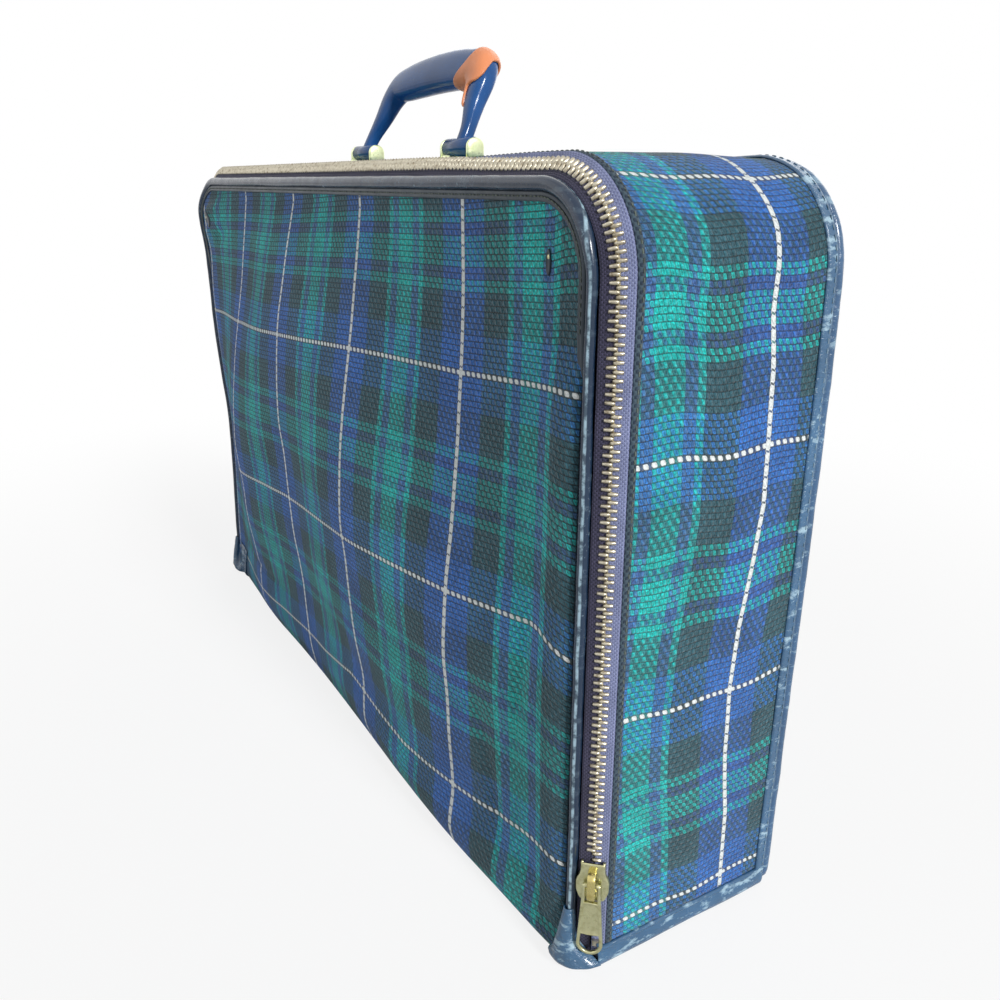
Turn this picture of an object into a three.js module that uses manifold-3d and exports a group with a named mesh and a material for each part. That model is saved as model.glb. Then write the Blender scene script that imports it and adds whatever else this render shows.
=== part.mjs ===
// A soft suitcase in tartan cloth on a stiff board frame, standing on its base.
// Its whole front is a lid: a zip runs up one end, over the top and down the other end, and
// the lid folds down about its lower edge. A moulded handle swings in two brackets on the top.
// Millimetres, +Z up, +X to the end with the zip slider, -Y to the lid. The origin is the
// middle of the base.
import * as THREE from "three";
import { mergeVertices } from "three/addons/utils/BufferGeometryUtils.js";
import Module from "manifold-3d";

const wasm = await Module();
wasm.setup();

// The case
const CASE_LENGTH = 566;
const CASE_HEIGHT = 360;
const CASE_DEPTH = 118;
const TOP_CORNER_RADIUS = 46;
const BASE_CORNER_RADIUS = 10;
const LEAST_RADIUS = 0.6;
const ARC_STEPS = 9;
const BASE_ARC_STEPS = 4;

// The layers of the walls, from outside in
const VINYL_PROUD = 0.6;
const CLOTH_THICKNESS = 1.0;
const BOARD_THICKNESS = 2.5;
const LINING_THICKNESS = 0.6;
const LAYER_GAP = 0.3;
const TURN_UP = 13;

// The bevel between the lid's front and the gusset, which holds the zip
const BEVEL_IN = 12;
const BEVEL_BACK = 12.5;
const CHAIN_TO_GUSSET = 7.5;

// The zip
const CHAIN_WIDTH = 10;
const CHAIN_THICKNESS = 3.8;
const ROW_GAP = 1.6;
const TAPE_THICKNESS = 1.2;
const STOP_HEIGHT = 3;

// The edge piping
const PIPING_RADIUS = 3;
const PIPING_SIDES = 8;
const BINDING_WIDTH = 5.4;
const BINDING_THICKNESS = 0.5;

// The lid
const LID_BULGE = 25;
const FACING_WIDTH = 6.4;
const FACING_THICKNESS = 1.0;
const PATCH_HEIGHT = 24;
const PATCH_THICKNESS = 1.4;
const LID_COLUMNS = 20;
const LID_ROWS = 14;
const HINGE_STRIP_THICKNESS = 1.2;
// How far the lid's cloth stands out, as shares of its greatest bulge, against shares of the
// way from the left edge to the right one, and from the base to the top.
const BULGE_ALONG_SHARES = [
  [0, 0],
  [0.1, 0.5],
  [0.21, 1],
  [0.4, 0.87],
  [0.617, 0.866],
  [0.835, 0.582],
  [0.94, 0.233],
  [1, 0],
];
const BULGE_UP_SHARES = [
  [0, 0],
  [0.1, 0.446],
  [0.22, 0.585],
  [0.36, 0.817],
  [0.48, 0.895],
  [0.6, 1],
  [0.75, 0.816],
  [0.88, 0.414],
  [1, 0],
];
// How far the bulge's crest sinks towards each end, as shares of the swelling height.
const BULGE_SINK_SHARES = [
  [0, 0.119],
  [0.21, 0.119],
  [0.4, 0],
  [0.617, 0.125],
  [0.835, 0.261],
  [1, 0.261],
];

// The rivets through the lid's cloth, near its two upper corners
const LID_RIVET_IN = 39.5;
const LID_RIVET_DOWN = 38;
const LID_RIVET_RADIUS = 3;
const LID_RIVET_HEIGHT = 1.6;

// The handle, in its own leaning plane, from the line of its two pivots
const HANDLE_LEAN_DEGREES = 22;
const FOOT_SPACING = 132;
const GRIP_HEIGHT = 47.5;
const GRIP_DEPTH = 25;
const GRIP_THICKNESS = 17;
const SHOULDER_OUT = 55.5;
const LEG_WIDTH = 8;
const LEG_THICKNESS = 7;
const BARREL_LENGTH = 28;
const BARREL_RADIUS = 4.9;
const HANDLE_SIDES = 12;
const HANDLE_RINGS = 34;
const SQUARENESS = 2.5;
// The middle line of one half of the handle, as shares of the shoulder's reach and of the
// grip's height, from the pivot to the middle of the grip.
const HANDLE_LINE_SHARES = [
  [1.19, 0],
  [1.168, 0.2],
  [1.108, 0.5],
  [1, 0.8],
  [0.8, 0.955],
  [0.43, 0.992],
  [0, 1],
];
// How the handle's section grows from the leg's (0) to the grip's (1) along that half.
const HANDLE_SWELL_SHARES = [
  [0, 0],
  [0.12, 0.04],
  [0.28, 0.24],
  [0.42, 0.62],
  [0.55, 0.88],
  [0.75, 0.97],
  [1, 1],
];

// The leather tag on the handle's right shoulder
const TAG_THICKNESS = 1.4;
const TAG_START_SHARE = 0.17;
const TAG_END_SHARE = 0.29;
const TAG_RINGS = 8;

// The handle's brackets
const PIVOT_RISE = 7.2;
const EAR_RADIUS = 6.5;
const EAR_THICKNESS = 2;
const EAR_GAP = 0.4;
const BRACKET_DEPTH = 26;
const BRACKET_THICKNESS = 1.6;
const PIN_RADIUS = 2;
const PIN_HEAD = 0.8;
const RUNNING_GAP = 0.3;
const ROUND_SIDES = 20;
const RIVET_OFFSET = 9.4;
const RIVET_RADIUS = 1.6;
const RIVET_HEAD_RADIUS = 2.9;
const RIVET_HEAD_HEIGHT = 1.5;
const BACKING_THICKNESS = 1.5;
const BACKING_MARGIN = 22;

// The zip slider and its pull
const SLIDER_TOP = 61;
const SLIDER_HEIGHT = 20;
const SLIDER_NECK_WIDTH = 11;
const SLIDER_WIDTH = 15;
const SLIDER_BACK_WIDTH = 12.6;
const SLIDER_PLATE = 1.4;
const SLIDER_CLEARANCE = 0.35;
const FLANGE_WIDTH = 1;
const DIAMOND_WIDTH = 0.8;
const DIAMOND_HEIGHT = 5;
const BRIDGE_HEIGHT = 14;
const BRIDGE_RISE = 5.6;
const BRIDGE_WIDTH = 3.8;
const BRIDGE_WALL = 3;
const BRIDGE_CROWN = 1.6;
const PULL_LENGTH = 42;
const PULL_NECK_WIDTH = 8.4;
const PULL_END_WIDTH = 12.6;
const PULL_THICKNESS = 1.8;
const PULL_RIM = 1.7;
const PULL_EYE_LENGTH = 9.6;
const PULL_PLATE_LENGTH = 13;
const PULL_END_STEPS = 8;
const SEAT_GAP = 0.05;

// Places that follow from those sizes
const HALF_LENGTH = CASE_LENGTH / 2;
const FRONT = -CASE_DEPTH / 2;
const BACK = CASE_DEPTH / 2;
const GUSSET_FRONT = FRONT + BEVEL_BACK;
const CLOTH_OUT = VINYL_PROUD;
const CLOTH_IN = CLOTH_OUT + CLOTH_THICKNESS;
const BOARD_OUT = CLOTH_IN + LAYER_GAP;
const BOARD_IN = BOARD_OUT + BOARD_THICKNESS;
const LINING_OUT = BOARD_IN + LAYER_GAP;
const LINING_IN = LINING_OUT + LINING_THICKNESS;
const PATCH_FOOT = PATCH_HEIGHT + LAYER_GAP;
const STOP_FOOT = TURN_UP + LAYER_GAP;
const ROW_FOOT = STOP_FOOT + STOP_HEIGHT + SEAT_GAP;
const LID_ROW_FOOT = SLIDER_TOP + 2 * SLIDER_CLEARANCE + LAYER_GAP;

// The corner patches end where the lid's cloth begins.
const PATCH_WIDTH = BEVEL_IN + PIPING_RADIUS;

// The bevel as a plane of its own: u runs across it towards the gusset, w stands out of it,
// and both start in the middle of the zip's chain. It gives [inset, y].
const BEVEL_LENGTH = Math.hypot(BEVEL_IN, BEVEL_BACK);
const BEVEL_U = [-BEVEL_IN / BEVEL_LENGTH, BEVEL_BACK / BEVEL_LENGTH];
const BEVEL_W = [-BEVEL_U[1], BEVEL_U[0]];
const CHAIN_MIDDLE = [-BEVEL_U[0] * CHAIN_TO_GUSSET, GUSSET_FRONT - BEVEL_U[1] * CHAIN_TO_GUSSET];
const PIPING_U = CHAIN_TO_GUSSET - BEVEL_LENGTH;
const HINGE_Y = CHAIN_MIDDLE[1] + TAPE_THICKNESS / 2;

function onBevel(u, w) {
  return [
    CHAIN_MIDDLE[0] + u * BEVEL_U[0] + w * BEVEL_W[0],
    CHAIN_MIDDLE[1] + u * BEVEL_U[1] + w * BEVEL_W[1],
  ];
}

// Finishes
const FINISHES = {
  tartan: { color: 0x2c5a60, roughness: 0.9, metalness: 0 },
  vinyl: { color: 0x28466b, roughness: 0.35, metalness: 0 },
  facing: { color: 0x3f4a48, roughness: 0.5, metalness: 0 },
  board: { color: 0x8a6f4f, roughness: 0.9, metalness: 0 },
  lining: { color: 0x39415a, roughness: 0.85, metalness: 0 },
  tape: { color: 0x4a5080, roughness: 0.85, metalness: 0 },
  brass: { color: 0xb5ad86, roughness: 0.35, metalness: 1 },
  pale_brass: { color: 0xd2d8a4, roughness: 0.3, metalness: 1 },
  steel: { color: 0x9a9c9e, roughness: 0.4, metalness: 1 },
  moulded: { color: 0x1f3565, roughness: 0.25, metalness: 0 },
  leather: { color: 0xe8a070, roughness: 0.6, metalness: 0 },
};
const materials = Object.fromEntries(
  Object.entries(FINISHES).map(([name, look]) => [name, new THREE.MeshStandardMaterial(look)]),
);

// Closed surfaces

// A geometry from points and triangles, turned so that its faces point out.
function closedSurface(points, triangles) {
  let volume = 0;
  for (const [a, b, c] of triangles) {
    const [p, q, r] = [points[a], points[b], points[c]];
    volume += p[0] * (q[1] * r[2] - q[2] * r[1]);
    volume += p[1] * (q[2] * r[0] - q[0] * r[2]);
    volume += p[2] * (q[0] * r[1] - q[1] * r[0]);
  }
  const faces = volume < 0 ? triangles.map(([a, b, c]) => [a, c, b]) : triangles;
  const geometry = new THREE.BufferGeometry();
  geometry.setAttribute("position", new THREE.Float32BufferAttribute(points.flat(), 3));
  geometry.setIndex(faces.flat());
  return geometry;
}

// The triangles that fill a flat outline, wound the way the outline is.
function fill(outline) {
  const contour = outline.map(([a, b]) => new THREE.Vector2(a, b));
  const sign = Math.sign(THREE.ShapeUtils.area(contour));
  return THREE.ShapeUtils.triangulateShape(contour, []).map(([a, b, c]) => {
    const corner = THREE.ShapeUtils.area([contour[a], contour[b], contour[c]]);
    return Math.sign(corner) === sign ? [a, b, c] : [a, c, b];
  });
}

// Joins rings of equal length into a tube: an open one gets caps with the given triangles.
function tube(rings, closed, cap) {
  const size = rings[0].length;
  const steps = closed ? rings.length : rings.length - 1;
  const triangles = [];
  for (let i = 0; i < steps; i++) {
    const here = i * size;
    const next = ((i + 1) % rings.length) * size;
    for (let j = 0; j < size; j++) {
      const k = (j + 1) % size;
      triangles.push([here + j, next + j, next + k]);
      triangles.push([here + j, next + k, here + k]);
    }
  }
  if (!closed) {
    const last = (rings.length - 1) * size;
    for (const [a, b, c] of cap) {
      triangles.push([a, b, c]);
      triangles.push([last + a, last + c, last + b]);
    }
  }
  return closedSurface(rings.flat(), triangles);
}

// Carries a section of [inset, y] corners along an outline. path(inset) gives that outline's
// points at a distance inside the case's own outline, always the same number of them.
function sweep(section, path, closed = false) {
  const lines = section.map(([inset]) => path(inset));
  const rings = lines[0].map((_, i) =>
    section.map(([, y], j) => [lines[j][i][0], y, lines[j][i][1]]),
  );
  return tube(rings, closed, fill(section));
}

// Outlines of the case, seen from the front

function arc(x, z, radius, from, to, steps) {
  return Array.from({ length: steps + 1 }, (_, i) => {
    const angle = from + ((to - from) * i) / steps;
    return [x + radius * Math.cos(angle), z + radius * Math.sin(angle)];
  });
}

function topRadius(inset) {
  return Math.max(TOP_CORNER_RADIUS - inset, LEAST_RADIUS);
}

// Up the right end from footRight, over the top and down the left end to footLeft.
function overTop(footRight, footLeft = footRight) {
  return (inset) => {
    const out = HALF_LENGTH - inset;
    const radius = topRadius(inset);
    const x = out - radius;
    const z = CASE_HEIGHT - inset - radius;
    return [
      [out, footRight],
      ...arc(x, z, radius, 0, Math.PI / 2, ARC_STEPS),
      ...arc(-x, z, radius, Math.PI / 2, Math.PI, ARC_STEPS),
      [-out, footLeft],
    ];
  };
}

// Down the left end from foot, along the base and up the right end to foot.
function underBase(foot) {
  return (inset) => {
    const out = HALF_LENGTH - inset;
    const radius = Math.max(BASE_CORNER_RADIUS - inset, LEAST_RADIUS);
    const x = out - radius;
    const z = inset + radius;
    return [
      [-out, foot],
      ...arc(-x, z, radius, Math.PI, 1.5 * Math.PI, BASE_ARC_STEPS),
      ...arc(x, z, radius, 1.5 * Math.PI, 2 * Math.PI, BASE_ARC_STEPS),
      [out, foot],
    ];
  };
}

// The whole outline, in one closed round.
function allRound(inset) {
  return [...overTop(0)(inset).slice(1, -1), ...underBase(0)(inset).slice(1, -1)];
}

// Round one lower corner of the lid: side is 1 on the right and -1 on the left.
function roundCorner(side) {
  return (inset) => {
    const out = HALF_LENGTH - inset;
    const radius = Math.max(BASE_CORNER_RADIUS - inset, LEAST_RADIUS);
    const bend = arc(out - radius, inset + radius, radius, 0, -Math.PI / 2, BASE_ARC_STEPS);
    const line = [[out, PATCH_HEIGHT], ...bend, [HALF_LENGTH - PATCH_WIDTH, inset]];
    return line.map(([x, z]) => [side * x, z]);
  };
}

function circle(centre, radius, sides) {
  return Array.from({ length: sides }, (_, i) => {
    const angle = (2 * Math.PI * (i + 0.5)) / sides;
    return [centre[0] + radius * Math.cos(angle), centre[1] + radius * Math.sin(angle)];
  });
}

function band(outer, inner, from, to) {
  return [
    [outer, from],
    [inner, from],
    [inner, to],
    [outer, to],
  ];
}

function bevelBox(u0, u1, w0, w1) {
  return [onBevel(u0, w0), onBevel(u1, w0), onBevel(u1, w1), onBevel(u0, w1)];
}

// Solids joined and cut

function solid(geometry) {
  const bare = geometry.index ? geometry.toNonIndexed() : geometry.clone();
  bare.deleteAttribute("normal");
  bare.deleteAttribute("uv");
  const merged = mergeVertices(bare, 1e-4);
  const mesh = new wasm.Mesh({
    numProp: 3,
    vertProperties: merged.attributes.position.array,
    triVerts: new Uint32Array(merged.index.array),
  });
  return new wasm.Manifold(mesh);
}

function geometryOf(made) {
  const mesh = made.getMesh();
  const geometry = new THREE.BufferGeometry();
  geometry.setAttribute("position", new THREE.BufferAttribute(mesh.vertProperties, 3));
  geometry.setIndex(new THREE.BufferAttribute(mesh.triVerts, 1));
  return geometry;
}

function join(...geometries) {
  return geometryOf(geometries.map(solid).reduce((a, b) => a.add(b)));
}

function cut(geometry, ...tools) {
  return geometryOf(tools.map(solid).reduce((a, b) => a.subtract(b), solid(geometry)));
}

// Turns a shape drawn in x and y, and its thickness in z, to three given directions.
function turned(geometry, x, y, z, origin) {
  const basis = new THREE.Matrix4().makeBasis(x, y, z).setPosition(origin);
  return geometry.clone().applyMatrix4(basis);
}

const X = new THREE.Vector3(1, 0, 0);
const Y = new THREE.Vector3(0, 1, 0);
const Z = new THREE.Vector3(0, 0, 1);
const minus = (v) => v.clone().negate();
const point = (x, y, z) => new THREE.Vector3(x, y, z);

function plate(shape, thickness) {
  return new THREE.ExtrudeGeometry(shape, { depth: thickness, bevelEnabled: false, curveSegments: 6 });
}

// A flat board of the case's outline, between two depths.
function wall(inset, from, to) {
  const shape = new THREE.Shape(allRound(inset).map(([x, z]) => new THREE.Vector2(x, z)));
  return turned(plate(shape, to - from), X, Z, minus(Y), point(0, to, 0));
}

function upright(radius, low, high, x, y) {
  const rod = new THREE.CylinderGeometry(radius, radius, high - low, ROUND_SIDES);
  rod.rotateX(Math.PI / 2);
  return rod.translate(x, y, (low + high) / 2);
}

function crossbar(radius, length, x, y, z) {
  const rod = new THREE.CylinderGeometry(radius, radius, length, ROUND_SIDES);
  rod.rotateZ(Math.PI / 2);
  return rod.translate(x, y, z);
}

// The scene

const suitcase = new THREE.Group();

function add(name, geometry, finish, parent = suitcase) {
  const plain = geometry.clone();
  plain.deleteAttribute("normal");
  plain.deleteAttribute("uv");
  plain.computeVertexNormals();
  const mesh = new THREE.Mesh(plain, materials[finish]);
  mesh.name = name;
  parent.add(mesh);
  return mesh;
}

// Where the handle stands: two feet, each in its bracket
const HANDLE_TOP = CASE_HEIGHT - CLOTH_OUT;
const PIVOT_Z = HANDLE_TOP + PIVOT_RISE;
const FEET = { right: FOOT_SPACING / 2, left: -FOOT_SPACING / 2 };
const BRACKET_TOP = HANDLE_TOP + SEAT_GAP + BRACKET_THICKNESS;
const LINING_FLOOR = CASE_HEIGHT - LINING_IN;
const BACKING_LOW = LINING_FLOOR - LAYER_GAP - BACKING_THICKNESS;
const RIVET_PLACES = Object.values(FEET).flatMap((x) => [
  [x, -RIVET_OFFSET],
  [x, RIVET_OFFSET],
]);

function drilled(geometry) {
  const over = RIVET_HEAD_HEIGHT;
  const holes = RIVET_PLACES.map(([x, y]) =>
    upright(RIVET_RADIUS + RUNNING_GAP, BACKING_LOW - over, BRACKET_TOP + over, x, y),
  );
  return cut(geometry, ...holes);
}

// The body's walls: a board frame, cloth over its ends and top, vinyl under its base.
function addBody() {
  const clothBack = BACK - 2 * PIPING_RADIUS - LAYER_GAP;
  const panelOut = BACK - PIPING_RADIUS;
  const boardOut = panelOut - CLOTH_THICKNESS - LAYER_GAP;
  const boardFace = boardOut - BOARD_THICKNESS;
  const gusset = overTop(TURN_UP + LAYER_GAP);
  const cloth = band(CLOTH_OUT, CLOTH_IN, GUSSET_FRONT, clothBack);
  add("gusset_cover", drilled(sweep(cloth, gusset)), "tartan");
  const boardFront = GUSSET_FRONT + BOARD_THICKNESS;
  const boards = band(BOARD_OUT, BOARD_IN, boardFront, boardFace - LAYER_GAP);
  add("gusset_board", drilled(sweep(boards, allRound, true)), "board");
  const lining = band(LINING_OUT, LINING_IN, boardFront, boardFace - LAYER_GAP);
  add("gusset_lining", drilled(sweep(lining, allRound, true)), "lining");
  const base = band(0, CLOTH_IN, HINGE_Y + LAYER_GAP, clothBack);
  add("bottom_panel", sweep(base, underBase(TURN_UP)), "vinyl");
  const binding = band(0, BINDING_THICKNESS, clothBack - BINDING_WIDTH, clothBack);
  add("back_binding", sweep(binding, gusset), "vinyl");
  const edge = circle([PIPING_RADIUS, BACK - PIPING_RADIUS], PIPING_RADIUS, PIPING_SIDES);
  add("back_piping", sweep(edge, allRound, true), "vinyl");
  const panelIn = 2 * PIPING_RADIUS + LAYER_GAP;
  add("back_cover", wall(panelIn, panelOut - CLOTH_THICKNESS, panelOut), "tartan");
  add("back_board", wall(panelIn, boardFace, boardOut), "board");
  const liningBack = boardFace - LAYER_GAP;
  const liningIn = LINING_IN + LAYER_GAP;
  add("back_lining", wall(liningIn, liningBack - LINING_THICKNESS, liningBack), "lining");
}

// Half of a zip on one side of the bevel: a row of teeth, as a plain rail, and its tape.
function addZip(side, rowEnd, tapeEnd, path) {
  const from = ROW_GAP / 2;
  const to = CHAIN_WIDTH / 2;
  const way = Math.sign(rowEnd);
  const row = bevelBox(way * from, way * to, -CHAIN_THICKNESS / 2, CHAIN_THICKNESS / 2);
  add("zip_teeth_" + side, sweep(row, path), "brass");
  const start = way * (to + SEAT_GAP);
  const tape = bevelBox(start, tapeEnd, -TAPE_THICKNESS / 2, TAPE_THICKNESS / 2);
  add("zip_tape_" + side, sweep(tape, path), "tape");
}

function addZips() {
  addZip("body", 1, CHAIN_TO_GUSSET - LAYER_GAP - TAPE_THICKNESS / 2, overTop(ROW_FOOT));
  const lidTape = PIPING_U + PIPING_RADIUS + SEAT_GAP;
  addZip("lid", -1, lidTape, overTop(LID_ROW_FOOT, PATCH_FOOT));
  const half = CHAIN_THICKNESS / 2;
  const stop = bevelBox(ROW_GAP / 2, CHAIN_WIDTH / 2, -half, half);
  const ends = [STOP_FOOT, STOP_FOOT + STOP_HEIGHT];
  const sides = { right: 1, left: -1 };
  for (const [name, way] of Object.entries(sides)) {
    const path = (inset) => ends.map((z) => [way * (HALF_LENGTH - inset), z]);
    add("zip_stop_" + name, sweep(stop, path), "brass");
  }
}

// A smooth value between the rows of a table of [place, value] shares.
function between(table, place) {
  const at = Math.min(Math.max(place, table[0][0]), table[table.length - 1][0]);
  const i = Math.min(table.findLastIndex(([p]) => p <= at), table.length - 2);
  const slope = (k) => {
    const a = table[Math.max(k - 1, 0)];
    const b = table[Math.min(k + 1, table.length - 1)];
    return (b[1] - a[1]) / (b[0] - a[0]);
  };
  const [[p0, v0], [p1, v1]] = [table[i], table[i + 1]];
  const span = p1 - p0;
  const t = (at - p0) / span;
  const ease = t * t * (3 - 2 * t);
  const lead = span * slope(i) * t * (1 - t) * (1 - t);
  const trail = span * slope(i + 1) * t * t * (1 - t);
  return v0 + (v1 - v0) * ease + lead - trail;
}

// The lid's cloth lies inside its stitched facing and swells out between its edges.
const PANEL_IN = BEVEL_IN + PIPING_RADIUS + LAYER_GAP;
const SWELL_IN = PANEL_IN + FACING_WIDTH + LAYER_GAP;
const SWELL_TOP = CASE_HEIGHT - SWELL_IN;
const CORNER_Z = CASE_HEIGHT - TOP_CORNER_RADIUS;

// Half of the outline's width at a height, at a distance inside the case's outline.
function halfWidth(inset, z) {
  const radius = topRadius(inset);
  const rise = Math.min(Math.max(z - CORNER_Z, 0), radius);
  return HALF_LENGTH - inset - radius + Math.sqrt(radius * radius - rise * rise);
}

function bulge(x, z) {
  const reach = halfWidth(SWELL_IN, z);
  const along = (x + reach) / (2 * reach);
  if (along <= 0 || along >= 1 || z >= SWELL_TOP) return 0;
  const up = z / SWELL_TOP;
  const raised = up + 4 * between(BULGE_SINK_SHARES, along) * up * (1 - up);
  return LID_BULGE * between(BULGE_ALONG_SHARES, along) * between(BULGE_UP_SHARES, raised);
}

// A sheet as wide as the lid inside its facing, its front at a given depth, that follows the
// bulge. Both faces are the same grid of points, in rows from edge to edge, split the same way.
function lidSheet(front, thickness, low) {
  const heights = [low];
  for (let j = 1; j < LID_ROWS; j++) heights.push((CORNER_Z * j) / LID_ROWS);
  for (let j = 0; j <= ARC_STEPS; j++) {
    heights.push(CORNER_Z + topRadius(SWELL_IN) * Math.sin((Math.PI * j) / (2 * ARC_STEPS)));
  }
  heights.push((SWELL_TOP + CASE_HEIGHT - PANEL_IN) / 2, CASE_HEIGHT - PANEL_IN);
  const row = (z, back) => {
    const edge = halfWidth(PANEL_IN, z);
    const reach = halfWidth(SWELL_IN, z);
    const inner = Array.from({ length: LID_COLUMNS + 1 }, (_, i) => reach * ((2 * i) / LID_COLUMNS - 1));
    return [-edge, ...inner, edge].map((x) => [x, front + back - bulge(x, z), z]);
  };
  const points = [0, thickness].flatMap((back) => heights.flatMap((z) => row(z, back)));
  const columns = LID_COLUMNS + 3;
  const at = (face, [j, i]) => (face * heights.length + j) * columns + i;
  const last = [heights.length - 1, columns - 1];
  const triangles = [];
  const quad = (a, b, c, d) => triangles.push([a, b, c], [a, c, d]);
  for (let j = 0; j < last[0]; j++) {
    for (let i = 0; i < last[1]; i++) {
      const corners = [[j, i], [j, i + 1], [j + 1, i + 1], [j + 1, i]];
      const [a, b, c, d] = corners.map((corner) => at(0, corner));
      quad(a, b, c, d);
      const [e, f, g, h] = corners.map((corner) => at(1, corner));
      quad(e, h, g, f);
    }
  }
  const border = [];
  for (let i = 0; i < last[1]; i++) border.push([0, i]);
  for (let j = 0; j < last[0]; j++) border.push([j, last[1]]);
  for (let i = last[1]; i > 0; i--) border.push([last[0], i]);
  for (let j = last[0]; j > 0; j--) border.push([j, 0]);
  border.forEach((a, k) => {
    const b = border[(k + 1) % border.length];
    quad(at(0, b), at(0, a), at(1, a), at(1, b));
  });
  return closedSurface(points, triangles);
}

// The vinyl patch that wraps one lower corner of the lid, outside the bevel and the piping.
function cornerPatch(side) {
  const chainEdge = -CHAIN_WIDTH / 3;
  const crest = PIPING_RADIUS - LAYER_GAP;
  const shoulder = PIPING_U + PIPING_RADIUS;
  const edge = PATCH_WIDTH - 2 * LEAST_RADIUS;
  const section = [
    onBevel(chainEdge, 0),
    onBevel(chainEdge, PATCH_THICKNESS),
    onBevel(shoulder, crest),
    onBevel(PIPING_U, crest),
    [edge, FRONT - crest],
    [edge, FRONT - crest + PATCH_THICKNESS],
    onBevel(PIPING_U, crest - PATCH_THICKNESS),
    onBevel(shoulder, crest - PATCH_THICKNESS),
  ];
  return sweep(section, roundCorner(side));
}

function lidRivet(x) {
  const z = CASE_HEIGHT - LID_RIVET_DOWN;
  const profile = [
    [0, 0],
    [LID_RIVET_RADIUS, 0],
    [LID_RIVET_RADIUS * 0.8, LID_RIVET_HEIGHT * 0.7],
    [LID_RIVET_RADIUS * 0.4, LID_RIVET_HEIGHT],
    [0, LID_RIVET_HEIGHT],
  ].map(([r, h]) => new THREE.Vector2(r, h));
  const reach = LID_RIVET_RADIUS;
  const around = [-reach, 0, reach].flatMap((a) => [-reach, 0, reach].map((b) => bulge(x + a, z + b)));
  const front = FRONT - Math.max(...around) - LAYER_GAP;
  return turned(new THREE.LatheGeometry(profile, ROUND_SIDES / 2), X, minus(Y), minus(Z), point(x, front, z));
}

function addLid() {
  add("lid_panel", lidSheet(FRONT, CLOTH_THICKNESS, LAYER_GAP), "tartan");
  const liningFront = FRONT + CLOTH_THICKNESS + LAYER_GAP;
  const liningFoot = HINGE_STRIP_THICKNESS + 2 * LAYER_GAP;
  add("lid_lining", lidSheet(liningFront, LINING_THICKNESS, liningFoot), "lining");
  const face = FRONT - LAYER_GAP;
  const facing = band(PANEL_IN, PANEL_IN + FACING_WIDTH, face - FACING_THICKNESS, face);
  add("lid_facing", sweep(facing, overTop(PATCH_FOOT)), "facing");
  const edge = circle(onBevel(PIPING_U, 0), PIPING_RADIUS, PIPING_SIDES);
  add("lid_piping", sweep(edge, overTop(PATCH_FOOT)), "vinyl");
  add("lid_corner_right", cornerPatch(1), "vinyl");
  add("lid_corner_left", cornerPatch(-1), "vinyl");
  const back = HINGE_Y - LAYER_GAP;
  const length = 2 * (HALF_LENGTH - PATCH_WIDTH - LAYER_GAP);
  const strip = new THREE.BoxGeometry(length, back - liningFront, HINGE_STRIP_THICKNESS);
  strip.translate(0, (liningFront + back) / 2, LAYER_GAP + HINGE_STRIP_THICKNESS / 2);
  add("lid_hinge_strip", strip, "vinyl");
  const rivetX = HALF_LENGTH - LID_RIVET_IN;
  add("lid_rivet_right", lidRivet(rivetX), "steel");
  add("lid_rivet_left", lidRivet(-rivetX), "steel");
}

// The handle's hardware: a bracket and a pin at each foot, and rivets through the top.
function bracket(x) {
  const inner = BARREL_LENGTH / 2 + EAR_GAP;
  const rise = PIVOT_Z - BRACKET_TOP;
  const ear = new THREE.Shape();
  ear.moveTo(-EAR_RADIUS, -rise - BRACKET_THICKNESS / 2);
  ear.lineTo(EAR_RADIUS, -rise - BRACKET_THICKNESS / 2);
  ear.lineTo(EAR_RADIUS, 0);
  ear.absarc(0, 0, EAR_RADIUS, 0, Math.PI, false);
  ear.closePath();
  const hole = new THREE.Path();
  hole.absarc(0, 0, PIN_RADIUS + RUNNING_GAP, 0, 2 * Math.PI, true);
  ear.holes.push(hole);
  const thick = plate(ear, EAR_THICKNESS);
  const width = 2 * (inner + EAR_THICKNESS);
  const base = new THREE.BoxGeometry(width, BRACKET_DEPTH, BRACKET_THICKNESS);
  base.translate(x, 0, BRACKET_TOP - BRACKET_THICKNESS / 2);
  const ears = [inner, -inner - EAR_THICKNESS].map((from) => turned(thick, Y, Z, X, point(x + from, 0, PIVOT_Z)));
  return drilled(join(base, ...ears));
}

function rivet(x, y) {
  const low = BACKING_LOW - SEAT_GAP;
  const high = BRACKET_TOP + SEAT_GAP;
  const profile = [
    [0, low - RIVET_HEAD_HEIGHT / 2],
    [RIVET_HEAD_RADIUS, low - RIVET_HEAD_HEIGHT / 2],
    [RIVET_HEAD_RADIUS, low],
    [RIVET_RADIUS, low],
    [RIVET_RADIUS, high],
    [RIVET_HEAD_RADIUS, high],
    [RIVET_HEAD_RADIUS * 0.75, high + RIVET_HEAD_HEIGHT * 0.7],
    [0, high + RIVET_HEAD_HEIGHT],
  ].map(([r, h]) => new THREE.Vector2(r, h));
  const turnedRivet = new THREE.LatheGeometry(profile, ROUND_SIDES / 2);
  return turnedRivet.rotateX(Math.PI / 2).translate(x, y, 0);
}

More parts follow.
